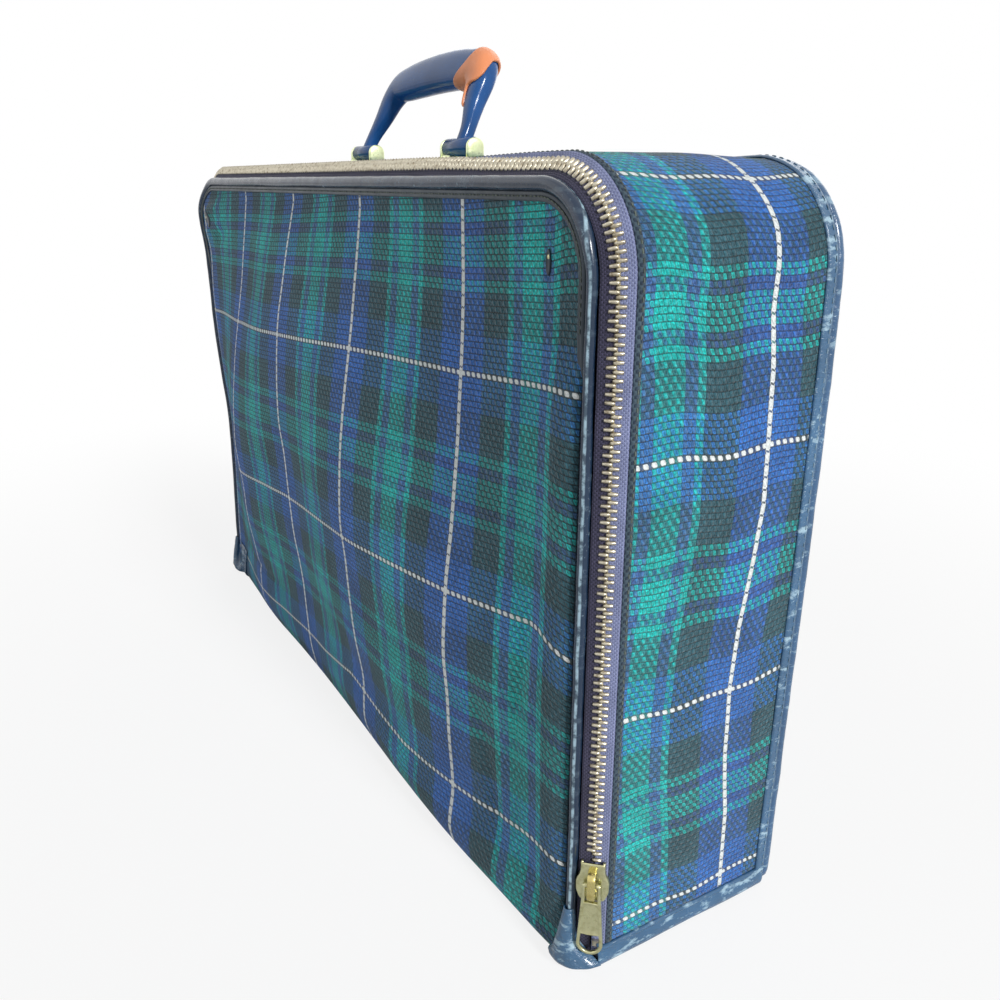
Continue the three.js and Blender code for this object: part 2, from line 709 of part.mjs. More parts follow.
function addHandleHardware() {
  const reach = BARREL_LENGTH + 2 * (EAR_GAP + EAR_THICKNESS + PIN_HEAD);
  for (const [name, x] of Object.entries(FEET)) {
    add("handle_bracket_" + name, bracket(x), "pale_brass");
    add("handle_pin_" + name, crossbar(PIN_RADIUS, reach, x, 0, PIVOT_Z), "brass");
  }
  RIVET_PLACES.forEach(([x, y], i) => add("bracket_rivet_" + (i + 1), rivet(x, y), "brass"));
  const width = FOOT_SPACING + 2 * BACKING_MARGIN;
  const backing = new THREE.BoxGeometry(width, BRACKET_DEPTH, BACKING_THICKNESS);
  backing.translate(0, 0, BACKING_LOW + BACKING_THICKNESS / 2);
  add("handle_backing_plate", drilled(backing), "steel");
}

// The moulded handle: one leg, the grip and the other leg, with a barrel on each foot.
const handleLine = new THREE.CatmullRomCurve3(
  [...HANDLE_LINE_SHARES, ...HANDLE_LINE_SHARES.slice(0, -1).reverse().map(([a, h]) => [-a, h])].map(
    ([a, h]) => point(a * SHOULDER_OUT, 0, h * GRIP_HEIGHT),
  ),
  false,
  "centripetal",
);

// One ring round the handle's middle line, grown by an offset; t runs from the right foot.
function handleRing(t, offset) {
  const centre = handleLine.getPointAt(t);
  const along = handleLine.getTangentAt(t);
  const across = point(along.z, 0, -along.x);
  const swell = between(HANDLE_SWELL_SHARES, 1 - Math.abs(2 * t - 1));
  const depth = (LEG_WIDTH + (GRIP_DEPTH - LEG_WIDTH) * swell) / 2 + offset;
  const thick = (LEG_THICKNESS + (GRIP_THICKNESS - LEG_THICKNESS) * swell) / 2 + offset;
  return Array.from({ length: HANDLE_SIDES }, (_, i) => {
    const angle = (2 * Math.PI * i) / HANDLE_SIDES;
    const round = (v) => Math.sign(v) * Math.abs(v) ** (2 / SQUARENESS);
    const a = depth * round(Math.cos(angle));
    return [centre.x + across.x * a, thick * round(Math.sin(angle)), centre.z + across.z * a];
  });
}

function addHandle() {
  const swing = new THREE.Group();
  swing.position.set(0, 0, PIVOT_Z);
  swing.rotation.x = THREE.MathUtils.degToRad(-HANDLE_LEAN_DEGREES);
  suitcase.add(swing);
  const rings = Array.from({ length: HANDLE_RINGS + 1 }, (_, i) => handleRing(i / HANDLE_RINGS, 0));
  const disc = circle([0, 0], 1, HANDLE_SIDES);
  const grip = tube(rings, false, fill(disc));
  const feet = Object.values(FEET);
  const barrels = feet.map((x) => crossbar(BARREL_RADIUS, BARREL_LENGTH, x, 0, 0));
  const bores = feet.map((x) => crossbar(PIN_RADIUS + RUNNING_GAP, 2 * BARREL_LENGTH, x, 0, 0));
  add("handle_grip", cut(join(grip, ...barrels), ...bores), "moulded", swing);
  const places = Array.from({ length: TAG_RINGS + 1 }, (_, i) =>
    TAG_START_SHARE + ((TAG_END_SHARE - TAG_START_SHARE) * i) / TAG_RINGS,
  );
  const outer = places.map((t) => handleRing(t, LAYER_GAP + TAG_THICKNESS));
  const inner = places.map((t) => handleRing(t, LAYER_GAP)).reverse();
  add("handle_tag", tube([...outer, ...inner], true), "leather", swing);
}

// The slider rides on the right end's straight run: two plates, one each side of the chain.
function addSlider() {
  const car = new THREE.Group();
  car.position.set(HALF_LENGTH - CHAIN_MIDDLE[0], CHAIN_MIDDLE[1], SLIDER_TOP);
  car.rotation.z = Math.atan2(BEVEL_U[1], -BEVEL_U[0]);
  suitcase.add(car);
  const plateIn = CHAIN_THICKNESS / 2 + SLIDER_CLEARANCE;
  const plateOut = plateIn + SLIDER_PLATE;
  const outwards = (shape, from, to) => turned(plate(shape, to - from), X, Z, minus(Y), point(0, -from, 0));
  const outline = (width) => {
    const [neck, wide] = [(width * SLIDER_NECK_WIDTH) / SLIDER_WIDTH / 2, width / 2];
    const half = [
      [neck, 0],
      [neck, SLIDER_HEIGHT * 0.3],
      [wide, SLIDER_HEIGHT * 0.55],
      [wide, SLIDER_HEIGHT * 0.9],
      [neck, SLIDER_HEIGHT],
    ];
    const around = [...half, ...half.map(([x, down]) => [-x, down]).reverse()];
    return new THREE.Shape(around.map(([x, down]) => new THREE.Vector2(x, -down)));
  };
  const overlap = SLIDER_PLATE / 2;
  const post = new THREE.BoxGeometry(DIAMOND_WIDTH, 2 * (plateIn + overlap), DIAMOND_HEIGHT);
  post.translate(0, 0, -SLIDER_HEIGHT + DIAMOND_HEIGHT / 2 + SLIDER_PLATE);
  const lip = TAPE_THICKNESS / 2 + SLIDER_CLEARANCE;
  const flangeHeight = SLIDER_HEIGHT * 0.35;
  const flanges = [1, -1].flatMap((face) =>
    [1, -1].map((side) => {
      const flange = new THREE.BoxGeometry(FLANGE_WIDTH, plateIn + overlap - lip, flangeHeight);
      const depth = (face * (lip + plateIn + overlap)) / 2;
      const out = (side * (SLIDER_BACK_WIDTH - FLANGE_WIDTH)) / 2;
      return flange.translate(out, depth, -SLIDER_HEIGHT * 0.725);
    }),
  );
  const plates = [
    outwards(outline(SLIDER_WIDTH), plateIn, plateOut),
    outwards(outline(SLIDER_BACK_WIDTH), -plateOut, -plateIn),
  ];
  add("slider_body", join(...plates, post, ...flanges), "brass", car);

  const bridgeTop = -(SLIDER_HEIGHT - BRIDGE_HEIGHT) / 2;
  const pivot = bridgeTop - BRIDGE_HEIGHT / 2;
  const arch = new THREE.Shape();
  const foot = plateOut + SEAT_GAP;
  arch.moveTo(bridgeTop, foot);
  arch.lineTo(bridgeTop - BRIDGE_WALL / 3, foot + BRIDGE_RISE - BRIDGE_CROWN);
  arch.lineTo(bridgeTop - BRIDGE_WALL, foot + BRIDGE_RISE);
  arch.lineTo(bridgeTop - BRIDGE_HEIGHT + BRIDGE_WALL, foot + BRIDGE_RISE);
  arch.lineTo(bridgeTop - BRIDGE_HEIGHT + BRIDGE_WALL / 3, foot + BRIDGE_RISE - BRIDGE_CROWN);
  arch.lineTo(bridgeTop - BRIDGE_HEIGHT, foot);
  arch.lineTo(bridgeTop - BRIDGE_HEIGHT + BRIDGE_WALL, foot);
  arch.lineTo(bridgeTop - BRIDGE_HEIGHT + BRIDGE_WALL, foot + BRIDGE_RISE - BRIDGE_CROWN);
  arch.lineTo(bridgeTop - BRIDGE_WALL, foot + BRIDGE_RISE - BRIDGE_CROWN);
  arch.lineTo(bridgeTop - BRIDGE_WALL, foot);
  arch.closePath();
  const bridge = turned(plate(arch, BRIDGE_WIDTH), Z, minus(Y), X, point(-BRIDGE_WIDTH / 2, 0, 0));
  add("slider_bridge", bridge, "pale_brass", car);

  const eye = BRIDGE_WIDTH / 2 + SLIDER_CLEARANCE + LAYER_GAP / 2;
  const half = PULL_THICKNESS / 2;
  const start = PULL_NECK_WIDTH / 2;
  const end = PULL_END_WIDTH / 2;
  const eyeEnd = -half - PULL_EYE_LENGTH;
  const plateEnd = eyeEnd - PULL_PLATE_LENGTH;
  const endDrop = PULL_RIM + end / 2;
  const bend = half - PULL_LENGTH + endDrop;
  const tab = new THREE.Shape();
  tab.moveTo(-start, half);
  tab.lineTo(start, half);
  tab.lineTo(end, bend);
  for (let i = 1; i < PULL_END_STEPS; i++) {
    const angle = (Math.PI * i) / PULL_END_STEPS;
    tab.lineTo(end * Math.cos(angle), bend - endDrop * Math.sin(angle));
  }
  tab.lineTo(-end, bend);
  tab.closePath();
  const upper = new THREE.Path();
  upper.moveTo(-eye, -half);
  upper.lineTo(-eye, eyeEnd);
  upper.lineTo(eye, eyeEnd);
  upper.lineTo(eye, -half);
  upper.closePath();
  const lower = new THREE.Path();
  const open = end - PULL_RIM;
  lower.moveTo(-open, plateEnd);
  lower.lineTo(-open, bend);
  for (let i = 1; i < PULL_END_STEPS; i++) {
    const angle = (Math.PI * i) / PULL_END_STEPS;
    lower.lineTo(-open * Math.cos(angle), bend - (open / 2) * Math.sin(angle));
  }
  lower.lineTo(open, bend);
  lower.lineTo(open, plateEnd);
  lower.closePath();
  tab.holes.push(upper, lower);
  const middle = foot + (BRIDGE_RISE - BRIDGE_CROWN) / 2;
  const hang = outwards(tab, middle - half, middle + half);
  add("pull_tab", hang.translate(0, 0, pivot), "brass", car);
}

addBody();
addZips();
addLid();
addHandleHardware();
addHandle();
addSlider();

export default suitcase;
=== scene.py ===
# %% [markdown]
# # A soft tartan suitcase
# The real thing is a small, old, soft-sided case: a board frame covered in a woven tartan cloth,
# a front face that is one big lid on a metal zip, glossy vinyl along every edge that rubs, and a
# moulded handle on two brass brackets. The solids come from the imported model. This script dresses
# them: each cell below makes one piece or one finish.

import math

import bpy
import numpy as np
from mathutils import Matrix, Vector


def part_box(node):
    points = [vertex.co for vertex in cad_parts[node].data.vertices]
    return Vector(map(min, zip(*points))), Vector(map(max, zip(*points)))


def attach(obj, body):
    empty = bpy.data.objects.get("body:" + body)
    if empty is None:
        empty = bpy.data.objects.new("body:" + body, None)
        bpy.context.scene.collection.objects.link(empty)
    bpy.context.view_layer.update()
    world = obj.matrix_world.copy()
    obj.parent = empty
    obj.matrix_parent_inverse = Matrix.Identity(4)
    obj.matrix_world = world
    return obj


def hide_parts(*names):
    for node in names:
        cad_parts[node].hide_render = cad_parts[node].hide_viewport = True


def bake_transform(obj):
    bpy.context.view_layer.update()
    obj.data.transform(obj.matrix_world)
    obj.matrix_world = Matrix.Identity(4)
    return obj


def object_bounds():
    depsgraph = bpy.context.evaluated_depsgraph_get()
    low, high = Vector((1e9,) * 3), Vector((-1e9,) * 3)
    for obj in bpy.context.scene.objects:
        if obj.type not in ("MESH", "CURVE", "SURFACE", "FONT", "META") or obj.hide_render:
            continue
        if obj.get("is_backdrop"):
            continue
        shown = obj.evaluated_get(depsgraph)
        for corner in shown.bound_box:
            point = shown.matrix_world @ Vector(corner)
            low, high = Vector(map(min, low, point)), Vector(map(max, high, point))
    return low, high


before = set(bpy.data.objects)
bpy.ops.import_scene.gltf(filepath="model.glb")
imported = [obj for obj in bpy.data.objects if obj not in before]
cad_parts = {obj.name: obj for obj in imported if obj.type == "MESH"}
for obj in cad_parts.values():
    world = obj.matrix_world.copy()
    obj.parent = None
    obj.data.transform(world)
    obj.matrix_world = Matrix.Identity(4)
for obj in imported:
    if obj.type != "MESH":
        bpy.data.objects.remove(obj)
cad_box = [list(corner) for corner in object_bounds()]
MM = 0.001

# %% [markdown]
# The camera comes first, at the photograph's own place.
# Its place and direction were found by fitting the case's known corners to the picture: about
# 59 degrees round from the front, 19 degrees above the horizon, quite close and quite wide.

# %% Camera at the photograph's place
LOOK_FROM = (0.54405, -0.26091, 0.34860)
LOOK_ALONG = Vector((-0.81036, 0.48521, -0.32845)).normalized()
LOOK_RIGHT = Vector((0.51330, 0.85821, 0.00140)).normalized()
look_up = LOOK_RIGHT.cross(LOOK_ALONG).normalized()
camera = bpy.data.objects.new("camera", bpy.data.cameras.new("camera"))
camera.data.sensor_width = 36
camera.data.lens = 32.95
camera.data.clip_start = 0.02
camera.data.clip_end = 40
turn = Matrix((LOOK_RIGHT, look_up, -LOOK_ALONG)).transposed()
camera.matrix_world = Matrix.Translation(LOOK_FROM) @ turn.to_4x4()
bpy.context.scene.collection.objects.link(camera)
bpy.context.scene.camera = camera
bpy.context.scene.view_settings.view_transform = "Standard"
print("camera", [round(v, 3) for v in camera.location])

# %% [markdown]
# The case has settled with age, and its silhouette in the photograph is not that of a new box.
# Its back edge bulges, the back of its top sags beside the handle, and the far edge of its lid
# wavers. Along the top the zip rides up and the cloth behind it dips. One smooth field of small
# shifts holds all of this, so that cloth, board, lining and piping move together. Its numbers are
# millimetres read from the photograph's outline.

# %% How the case has settled
def smooth_rows(rows, at):
    """A smooth curve through rows of (place, value): cubic pieces that meet with one slope."""
    place, value = np.array(rows, float).T
    at = np.clip(at, place[0], place[-1])
    number = np.arange(len(place))
    low, high = np.maximum(number - 1, 0), np.minimum(number + 1, len(place) - 1)
    slope = (value[high] - value[low]) / (place[high] - place[low])
    i = np.clip(np.searchsorted(place, at, side="right") - 1, 0, len(place) - 2)
    span = place[i + 1] - place[i]
    t = (at - place[i]) / span
    ease = t * t * (3 - 2 * t)
    lead = span * slope[i] * t * (1 - t) ** 2
    trail = span * slope[i + 1] * t * t * (1 - t)
    return value[i] + (value[i + 1] - value[i]) * ease + lead - trail


def rise(value, low, high):
    """0 below low, 1 above high, and the smooth step 3t squared - 2t cubed between them."""
    t = np.clip((value - low) / (high - low), 0, 1)
    return t * t * (3 - 2 * t)


BACK_OUT = [[0, 1.4], [22, 1.8], [94, 2.6], [179, 4.2], [255, 4.8], [306, 4.4], [340, 3.4], [372, 2.4]]
TOP_DOWN = [[-250, 0], [-160, -2.4], [-60, -1.0], [40, -1.2], [75, -3.8], [95, -5.0], [128, -4.7],
            [161, -3.0], [191, -1.9], [220, -1.6], [250, -0.6], [262, 0]]
FAR_EDGE = [[0, 0.4], [40, 0.4], [79, 1.8], [117, 3.0], [155, 3.0], [191, 0.6], [226, -1.2],
            [261, -2.0], [294, -2.8], [326, -5.2], [346, -1.6], [362, -0.5]]


def settled(points):
    """Each shift is a curve along one edge times smooth steps that fade it out elsewhere. chain
    lifts the zip along the top, and hollow sinks the cloth just behind it."""
    x, y, z = (points[..., i] / MM for i in range(3))
    back = smooth_rows(BACK_OUT, z) * rise(y, 0, 50)
    far = smooth_rows(FAR_EDGE, z) * rise(-x, 150, 262) * rise(-y, 46, 54)
    top = smooth_rows(TOP_DOWN, x) * rise(y, 4, 50) * rise(z, 316, 352) * (z < 373)
    above = rise(x, -264, -236) * rise(-x, -225, -120) * (z < 366)
    chain = 1.7 * rise(-y, 47.5, 50.5) * rise(z, 350, 355)
    hollow = 1.5 * rise(y, -50.5, -47.5) * rise(-y, 17, 36) * rise(z, 346, 356)
    return points + MM * np.stack([0 * x, back + far, top + above * (chain - hollow)], -1)


print("settled top corner", settled(np.array([0.095, 0.055, 0.36])).round(4))

# %% [markdown]
# Every new surface is a grid of points worked out as one array. Two small helpers turn such a
# grid into a mesh. A grid may wrap round in either direction, as a tube does, and its open ends
# may be capped. Which way the faces point is not left to luck: the sum of each face's direction
# times its distance from a centre is positive when they point outwards, so the helper looks at
# its sign and turns all the faces round where it is negative.

# %% Helpers that turn grids of points into meshes
def grid_quads(rows, cols, wrap_rows=False, wrap_cols=False):
    """The four corner numbers of every quad of a grid, and the same for its flat pattern map.
    Quad (r, c) joins points (r, c), (r+1, c), (r+1, c+1) and (r, c+1), counted round the wrap."""
    r = np.arange(rows if wrap_rows else rows - 1)[:, None]
    c = np.arange(cols if wrap_cols else cols - 1)[None, :]
    around = ((0, 0), (1, 0), (1, 1), (0, 1))
    wide = cols + int(wrap_cols)
    quads = np.stack([((r + i) % rows) * cols + (c + j) % cols for i, j in around], -1)
    pattern = np.stack([(r + i) * wide + (c + j) for i, j in around], -1)
    return quads.reshape(-1, 4), pattern.reshape(-1, 4)


def outward_sum(points, quads, centre):
    """Adds up direction x area x distance from the centre over all quads (positive: outwards)."""
    p = points[quads]
    normal = np.cross(p[:, 2] - p[:, 0], p[:, 3] - p[:, 1])
    return float(np.sum(normal * (p.mean(axis=1) - centre)))


def new_mesh(name, points, quads, flat_map=None, caps=(), centre=None, as_given=False):
    """Fills a mesh with points (n, 3), quads (m, 4), cap polygons and a flat pattern map in
    metres, one pair per quad corner. Every point is shifted as the case has settled, and the
    faces are turned to point away from the centre."""
    points = settled(np.asarray(points, float).reshape(-1, 3))
    middle = points.mean(axis=0) if centre is None else np.asarray(centre, float)
    if not as_given and outward_sum(points, quads, middle) < 0:
        quads = quads[:, ::-1]
        caps = [list(cap)[::-1] for cap in caps]
        flat_map = None if flat_map is None else flat_map[:, ::-1]
    corners = np.concatenate([quads.ravel()] + [np.asarray(cap) for cap in caps]).astype(np.int32)
    sizes = np.array([4] * len(quads) + [len(cap) for cap in caps])
    mesh = bpy.data.meshes.new(name)
    mesh.vertices.add(len(points))
    mesh.vertices.foreach_set("co", points.ravel())
    mesh.loops.add(len(corners))
    mesh.loops.foreach_set("vertex_index", corners)
    mesh.polygons.add(len(sizes))
    starts = np.concatenate([[0], np.cumsum(sizes)[:-1]]).astype(np.int32)
    mesh.polygons.foreach_set("loop_start", starts)
    if flat_map is not None:
        layer = mesh.uv_layers.new(name="cloth")
        spare = np.zeros((len(corners) - 4 * len(quads), 2))
        pairs = np.concatenate([flat_map.reshape(-1, 2), spare])
        layer.data.foreach_set("uv", pairs.astype(np.float32).ravel())
    mesh.update(calc_edges=True)
    mesh.validate()
    mesh.polygons.foreach_set("use_smooth", np.ones(len(mesh.polygons), bool))
    thing = bpy.data.objects.new(name, mesh)
    bpy.context.scene.collection.objects.link(thing)
    return thing


def surface(name, grid, pattern=None, wrap_rows=False, wrap_cols=False, capped=False, centre=None):
    """Makes a piece from a grid (rows, cols, 3). pattern is (rows, cols, 2), with one more row
    or column where the grid wraps. capped closes both ends of a tube whose columns wrap."""
    rows, cols = grid.shape[:2]
    quads, numbers = grid_quads(rows, cols, wrap_rows, wrap_cols)
    flat_map = None if pattern is None else pattern.reshape(-1, 2)[numbers]
    first = np.arange(cols)
    caps = [first, (rows - 1) * cols + first[::-1]] if capped else []
    return new_mesh(name, grid.reshape(-1, 3), quads, flat_map, caps, centre)


def repeated(name, shape, quads, places, a, b, c):
    """Copies one small shape to many places: point = place + x times a + y times b + z times c,
    for whole arrays of places and of their three directions."""
    x, y, z = (shape[None, :, i : i + 1] for i in range(3))
    points = places[:, None] + x * a[:, None] + y * b[:, None] + z * c[:, None]
    numbers = quads[None] + len(shape) * np.arange(len(places))[:, None, None]
    one = points[0]
    if outward_sum(one, quads, one.mean(axis=0)) < 0:
        numbers = numbers[:, :, ::-1]
    return new_mesh(name, points, numbers.reshape(-1, 4), as_given=True)


def curve_through(points, steps):
    """A smooth curve: cubic pieces whose slopes allow for uneven gaps between the points."""
    p = np.vstack([2 * points[0] - points[1], points, 2 * points[-1] - points[-2]])
    gap = np.linalg.norm(np.diff(p, axis=0), axis=1)[:, None] ** 0.5
    a, b, c = gap[:-2], gap[1:-1], gap[2:]
    p0, p1, p2, p3 = p[:-3], p[1:-2], p[2:-1], p[3:]
    lead = ((p1 - p0) / a - (p2 - p0) / (a + b) + (p2 - p1) / b) * b
    trail = ((p2 - p1) / b - (p3 - p1) / (b + c) + (p3 - p2) / c) * b
    t = np.linspace(0, 1, steps, endpoint=False)[None, :, None]
    p1, p2, lead, trail = (v[:, None] for v in (p1, p2, lead, trail))
    curve = p1 + lead * t + (3 * (p2 - p1) - 2 * lead - trail) * t**2 + (lead + trail - 2 * (p2 - p1)) * t**3
    return np.vstack([curve.reshape(-1, points.shape[1]), points[-1:]])


def net_through(net, down, across):
    """A smooth skin through a coarse net of points (rows, cols, 3), first down, then across."""
    rows, cols = net.shape[:2]
    finer = curve_through(net.reshape(rows, -1), down).reshape(-1, cols, 3)
    turned = finer.transpose(1, 0, 2).reshape(cols, -1)
    return curve_through(turned, across).reshape(-1, len(finer), 3).transpose(1, 0, 2)


print("mesh helpers ready")

# %% [markdown]
# Nearly everything on this case follows one line: its outline seen from the front, up one end,
# over the top and down the other, with a wide curve at each top corner. The line is written as
# the path of a point that walks round an inner rectangle, plus the corner radius times a
# direction that turns only at the corners. The same form, with small corners added at the foot,
# gives the closed line of the back edge.

# %% The outline of the case, as arrays along its length
HALF = 0.283
HIGH = 0.360
TOP_CORNER = 0.046
BASE_CORNER = 0.010
END_RUN = HIGH - TOP_CORNER
TOP_RUN = 2 * (HALF - TOP_CORNER)
QUARTER = math.pi / 2
MIDDLE = (0, 0, 0.18)


def knots(rows):
    """Table rows of (length so far, corner centre x, corner centre z, corner radius, angle)."""
    return np.array(rows, float).T


def arch_table():
    """From the foot of the right end, up, over the top and down to the foot of the left end."""
    reach, bend = HALF - TOP_CORNER, TOP_CORNER * QUARTER
    a = END_RUN
    b = a + bend
    c = b + TOP_RUN
    d = c + bend
    return knots([
        (0, reach, 0, TOP_CORNER, 0),
        (a, reach, END_RUN, TOP_CORNER, 0),
        (b, reach, END_RUN, TOP_CORNER, QUARTER),
        (c, -reach, END_RUN, TOP_CORNER, QUARTER),
        (d, -reach, END_RUN, TOP_CORNER, 2 * QUARTER),
        (d + a, -reach, 0, TOP_CORNER, 2 * QUARTER),
    ])


def ring_table():
    """All the way round: from the middle of the base to the right and back to the start."""
    reach, bend = HALF - TOP_CORNER, TOP_CORNER * QUARTER
    foot, small = HALF - BASE_CORNER, BASE_CORNER * QUARTER
    end = HIGH - TOP_CORNER - BASE_CORNER
    steps = np.cumsum([0, foot, small, end, bend, 2 * reach, bend, end, small, foot])
    places = [
        (0, BASE_CORNER, BASE_CORNER, -1),
        (foot, BASE_CORNER, BASE_CORNER, -1),
        (foot, BASE_CORNER, BASE_CORNER, 0),
        (reach, END_RUN, TOP_CORNER, 0),
        (reach, END_RUN, TOP_CORNER, 1),
        (-reach, END_RUN, TOP_CORNER, 1),
        (-reach, END_RUN, TOP_CORNER, 2),
        (-foot, BASE_CORNER, BASE_CORNER, 2),
        (-foot, BASE_CORNER, BASE_CORNER, 3),
        (0, BASE_CORNER, BASE_CORNER, 3),
    ]
    return knots([(s, x, z, r, q * QUARTER) for s, (x, z, r, q) in zip(steps, places)])


ARCH = arch_table()
RING = ring_table()
ARCH_LENGTH = ARCH[0, -1]
RING_LENGTH = RING[0, -1]


def walk(table, s):
    """Points on a line (n, 2) and outward directions (n, 2): centre + radius x direction."""
    x, z, radius, angle = (np.interp(s, table[0], row) for row in table[1:])
    out = np.stack([np.cos(angle), np.sin(angle)], -1)
    return np.stack([x, z], -1) + radius[..., None] * out, out


def carried(table, s, inset, y):
    """A section carried along a line. inset and y are (cols,) or (rows, cols); the point is the
    line's point less inset times its outward direction, at depth y."""
    line, out = walk(table, s)
    inset = np.broadcast_to(inset, (len(s), np.shape(inset)[-1]))
    y = np.broadcast_to(y, inset.shape)
    flat = line[:, None] - inset[..., None] * out[:, None]
    return np.stack([flat[..., 0], y, flat[..., 1]], -1)


def even(start, end, gap):
    """Places from start to end, about one gap apart."""
    return np.linspace(start, end, max(2, int(round((end - start) / gap)) + 1))


print("outline", round(ARCH_LENGTH, 4), "ring", round(RING_LENGTH, 4))

# %% [markdown]
# The zip does not lie on the front face. It sits on a slope of about 45 degrees that cuts off
# the edge between the front and the ends, so the teeth catch the light. u runs across that
# slope, from the lid towards the end's cloth, and w stands straight out of it.

# %% The slope that carries the zip
ZIP_INSET, ZIP_Y = 0.00519, -0.05191
U_STEP = np.array([-0.6925, 0.7214])
W_STEP = np.array([-0.7214, -0.6925])


def on_slope(u, w):
    """Inset and depth of a place on the slope: the zip's middle + u and w steps."""
    u, w = np.broadcast_arrays(np.asarray(u, float), np.asarray(w, float))
    return ZIP_INSET + u * U_STEP[0] + w * W_STEP[0], ZIP_Y + u * U_STEP[1] + w * W_STEP[1]


def slope_frames(s, u, w):
    """Places on the slope along the outline, with their across, outward and along directions."""
    inset, y = on_slope(u, w)
    line, out = walk(ARCH, s)
    flat = line - np.broadcast_to(inset, s.shape)[:, None] * out
    place = np.stack([flat[:, 0], np.broadcast_to(y, s.shape), flat[:, 1]], -1)
    along = np.stack([-out[:, 1], np.zeros_like(s), out[:, 0]], -1)
    out3 = np.stack([out[:, 0], np.zeros_like(s), out[:, 1]], -1)
    depth = np.array([0.0, 1.0, 0.0])
    across = -U_STEP[0] * out3 + U_STEP[1] * depth
    proud = -W_STEP[0] * out3 + W_STEP[1] * depth
    return place, across, proud, along


def soft_noise(x, y, seed):
    """Smooth uneven heights from -1 to 1: a sum of sine waves with fixed odd directions."""
    rng = np.random.default_rng(seed)
    total = np.zeros(np.broadcast(x, y).shape)
    for level in range(3):
        for _ in range(5):
            turn, phase = rng.uniform(0, 2 * np.pi, 2)
            pace = 2.0**level * rng.uniform(0.7, 1.4)
            total += np.sin(pace * (x * np.cos(turn) + y * np.sin(turn)) + phase) / 2.0**level
    return total / 5


print("slope helpers ready")

# %% [markdown]
# Finishes are node networks. A few helpers keep them readable: one adds a node and fills its
# inputs, one mixes two colours, and one makes a named group with its own inputs. A number that
# flows from node to node is wrapped, so that + - * / ** and abs each add one Math node. Colours
# are written as the eye reads them on a screen and turned into the linear numbers that the
# shader wants.

# %% Helpers for shader nodes
class Flow:
    """What flows out of a socket. A sum with another flow or a plain number is one Math node."""

    def __init__(self, socket):
        self.socket, self.tree = socket, socket.id_data

    def __add__(self, other):
        return maths("ADD", self, other)

    def __sub__(self, other):
        return maths("SUBTRACT", self, other)

    def __rsub__(self, other):
        return maths("SUBTRACT", other, self)

    def __mul__(self, other):
        return maths("MULTIPLY", self, other)

    def __truediv__(self, other):
        return maths("DIVIDE", self, other)

    def __rtruediv__(self, other):
        return maths("DIVIDE", other, self)

    def __pow__(self, other):
        return maths("POWER", self, other)

    def __abs__(self):
        return maths("ABSOLUTE", self)


def feed(socket, value):
    """Links a socket to a flow or to another socket, or sets its value."""
    value = value.socket if isinstance(value, Flow) else value
    if isinstance(value, bpy.types.NodeSocket):
        socket.id_data.links.new(value, socket)
    else:
        socket.default_value = value


def add_node(tree, kind, inputs=None, **settings):
    """Adds a node, sets its options and feeds its inputs by name or number."""
    made = tree.nodes.new(kind)
    for name, value in settings.items():
        setattr(made, name, value)
    for name, value in (inputs or {}).items():
        feed(made.inputs[name], value)
    return made


def tree_of(*values):
    """The tree that the first flow among some values is in."""
    return next(value.tree for value in values if isinstance(value, Flow))


def maths(operation, *values):
    """One Math node."""
    made = add_node(tree_of(*values), "ShaderNodeMath", dict(enumerate(values)), operation=operation)
    return Flow(made.outputs[0])


def ramp(value, low, high, to_low=0.0, to_high=1.0):
    """A smooth step: to_low where value is below low, to_high where it is above high."""
    inputs = {"Value": value, "From Min": low, "From Max": high, "To Min": to_low, "To Max": to_high}
    made = add_node(value.tree, "ShaderNodeMapRange", inputs, interpolation_type="SMOOTHSTEP")
    return Flow(made.outputs[0])


def mixed(factor, a, b, blend="MIX"):
    """Two colours mixed by a factor."""
    inputs = {0: factor, 6: a, 7: b}
    made = add_node(tree_of(factor, a, b), "ShaderNodeMix", inputs, data_type="RGBA", blend_type=blend)
    return Flow(made.outputs[2])


def dimmed(colour, amount):
    """A colour times a single number."""
    grey = add_node(amount.tree, "ShaderNodeCombineColor", {"Red": amount, "Green": amount, "Blue": amount})
    return mixed(1.0, colour, Flow(grey.outputs[0]), "MULTIPLY")


def noise(place, scale, detail=2.0, rough=0.5):
    """Soft noise from 0 to 1; scale is in bumps per metre."""
    inputs = {"Vector": place, "Scale": scale, "Detail": detail, "Roughness": rough}
    return Flow(add_node(place.tree, "ShaderNodeTexNoise", inputs).outputs["Fac"])


def split(place):
    """The three parts of a place."""
    return [Flow(part) for part in add_node(place.tree, "ShaderNodeSeparateXYZ", {0: place}).outputs]


def new_group(name, **inputs):
    """An empty node group. Each input starts at a number or a colour; None makes it a place."""
    tree = bpy.data.node_groups.new(name, "ShaderNodeTree")
    for label, start in inputs.items():
        kind = "Vector" if start is None else "Color" if isinstance(start, tuple) else "Float"
        socket = tree.interface.new_socket(label, in_out="INPUT", socket_type="NodeSocket" + kind)
        if start is not None:
            socket.default_value = start
    outputs = tree.nodes.new("NodeGroupInput").outputs
    return tree, {label: Flow(outputs[label]) for label in inputs}


def give(tree, **results):
    """Ends a group with its results. Color is a colour and the others are numbers."""
    for label in results:
        kind = "NodeSocketColor" if label == "Color" else "NodeSocketFloat"
        tree.interface.new_socket(label, in_out="OUTPUT", socket_type=kind)
    ends = tree.nodes.new("NodeGroupOutput").inputs
    for label, value in results.items():
        feed(ends[label], value)
    return tree


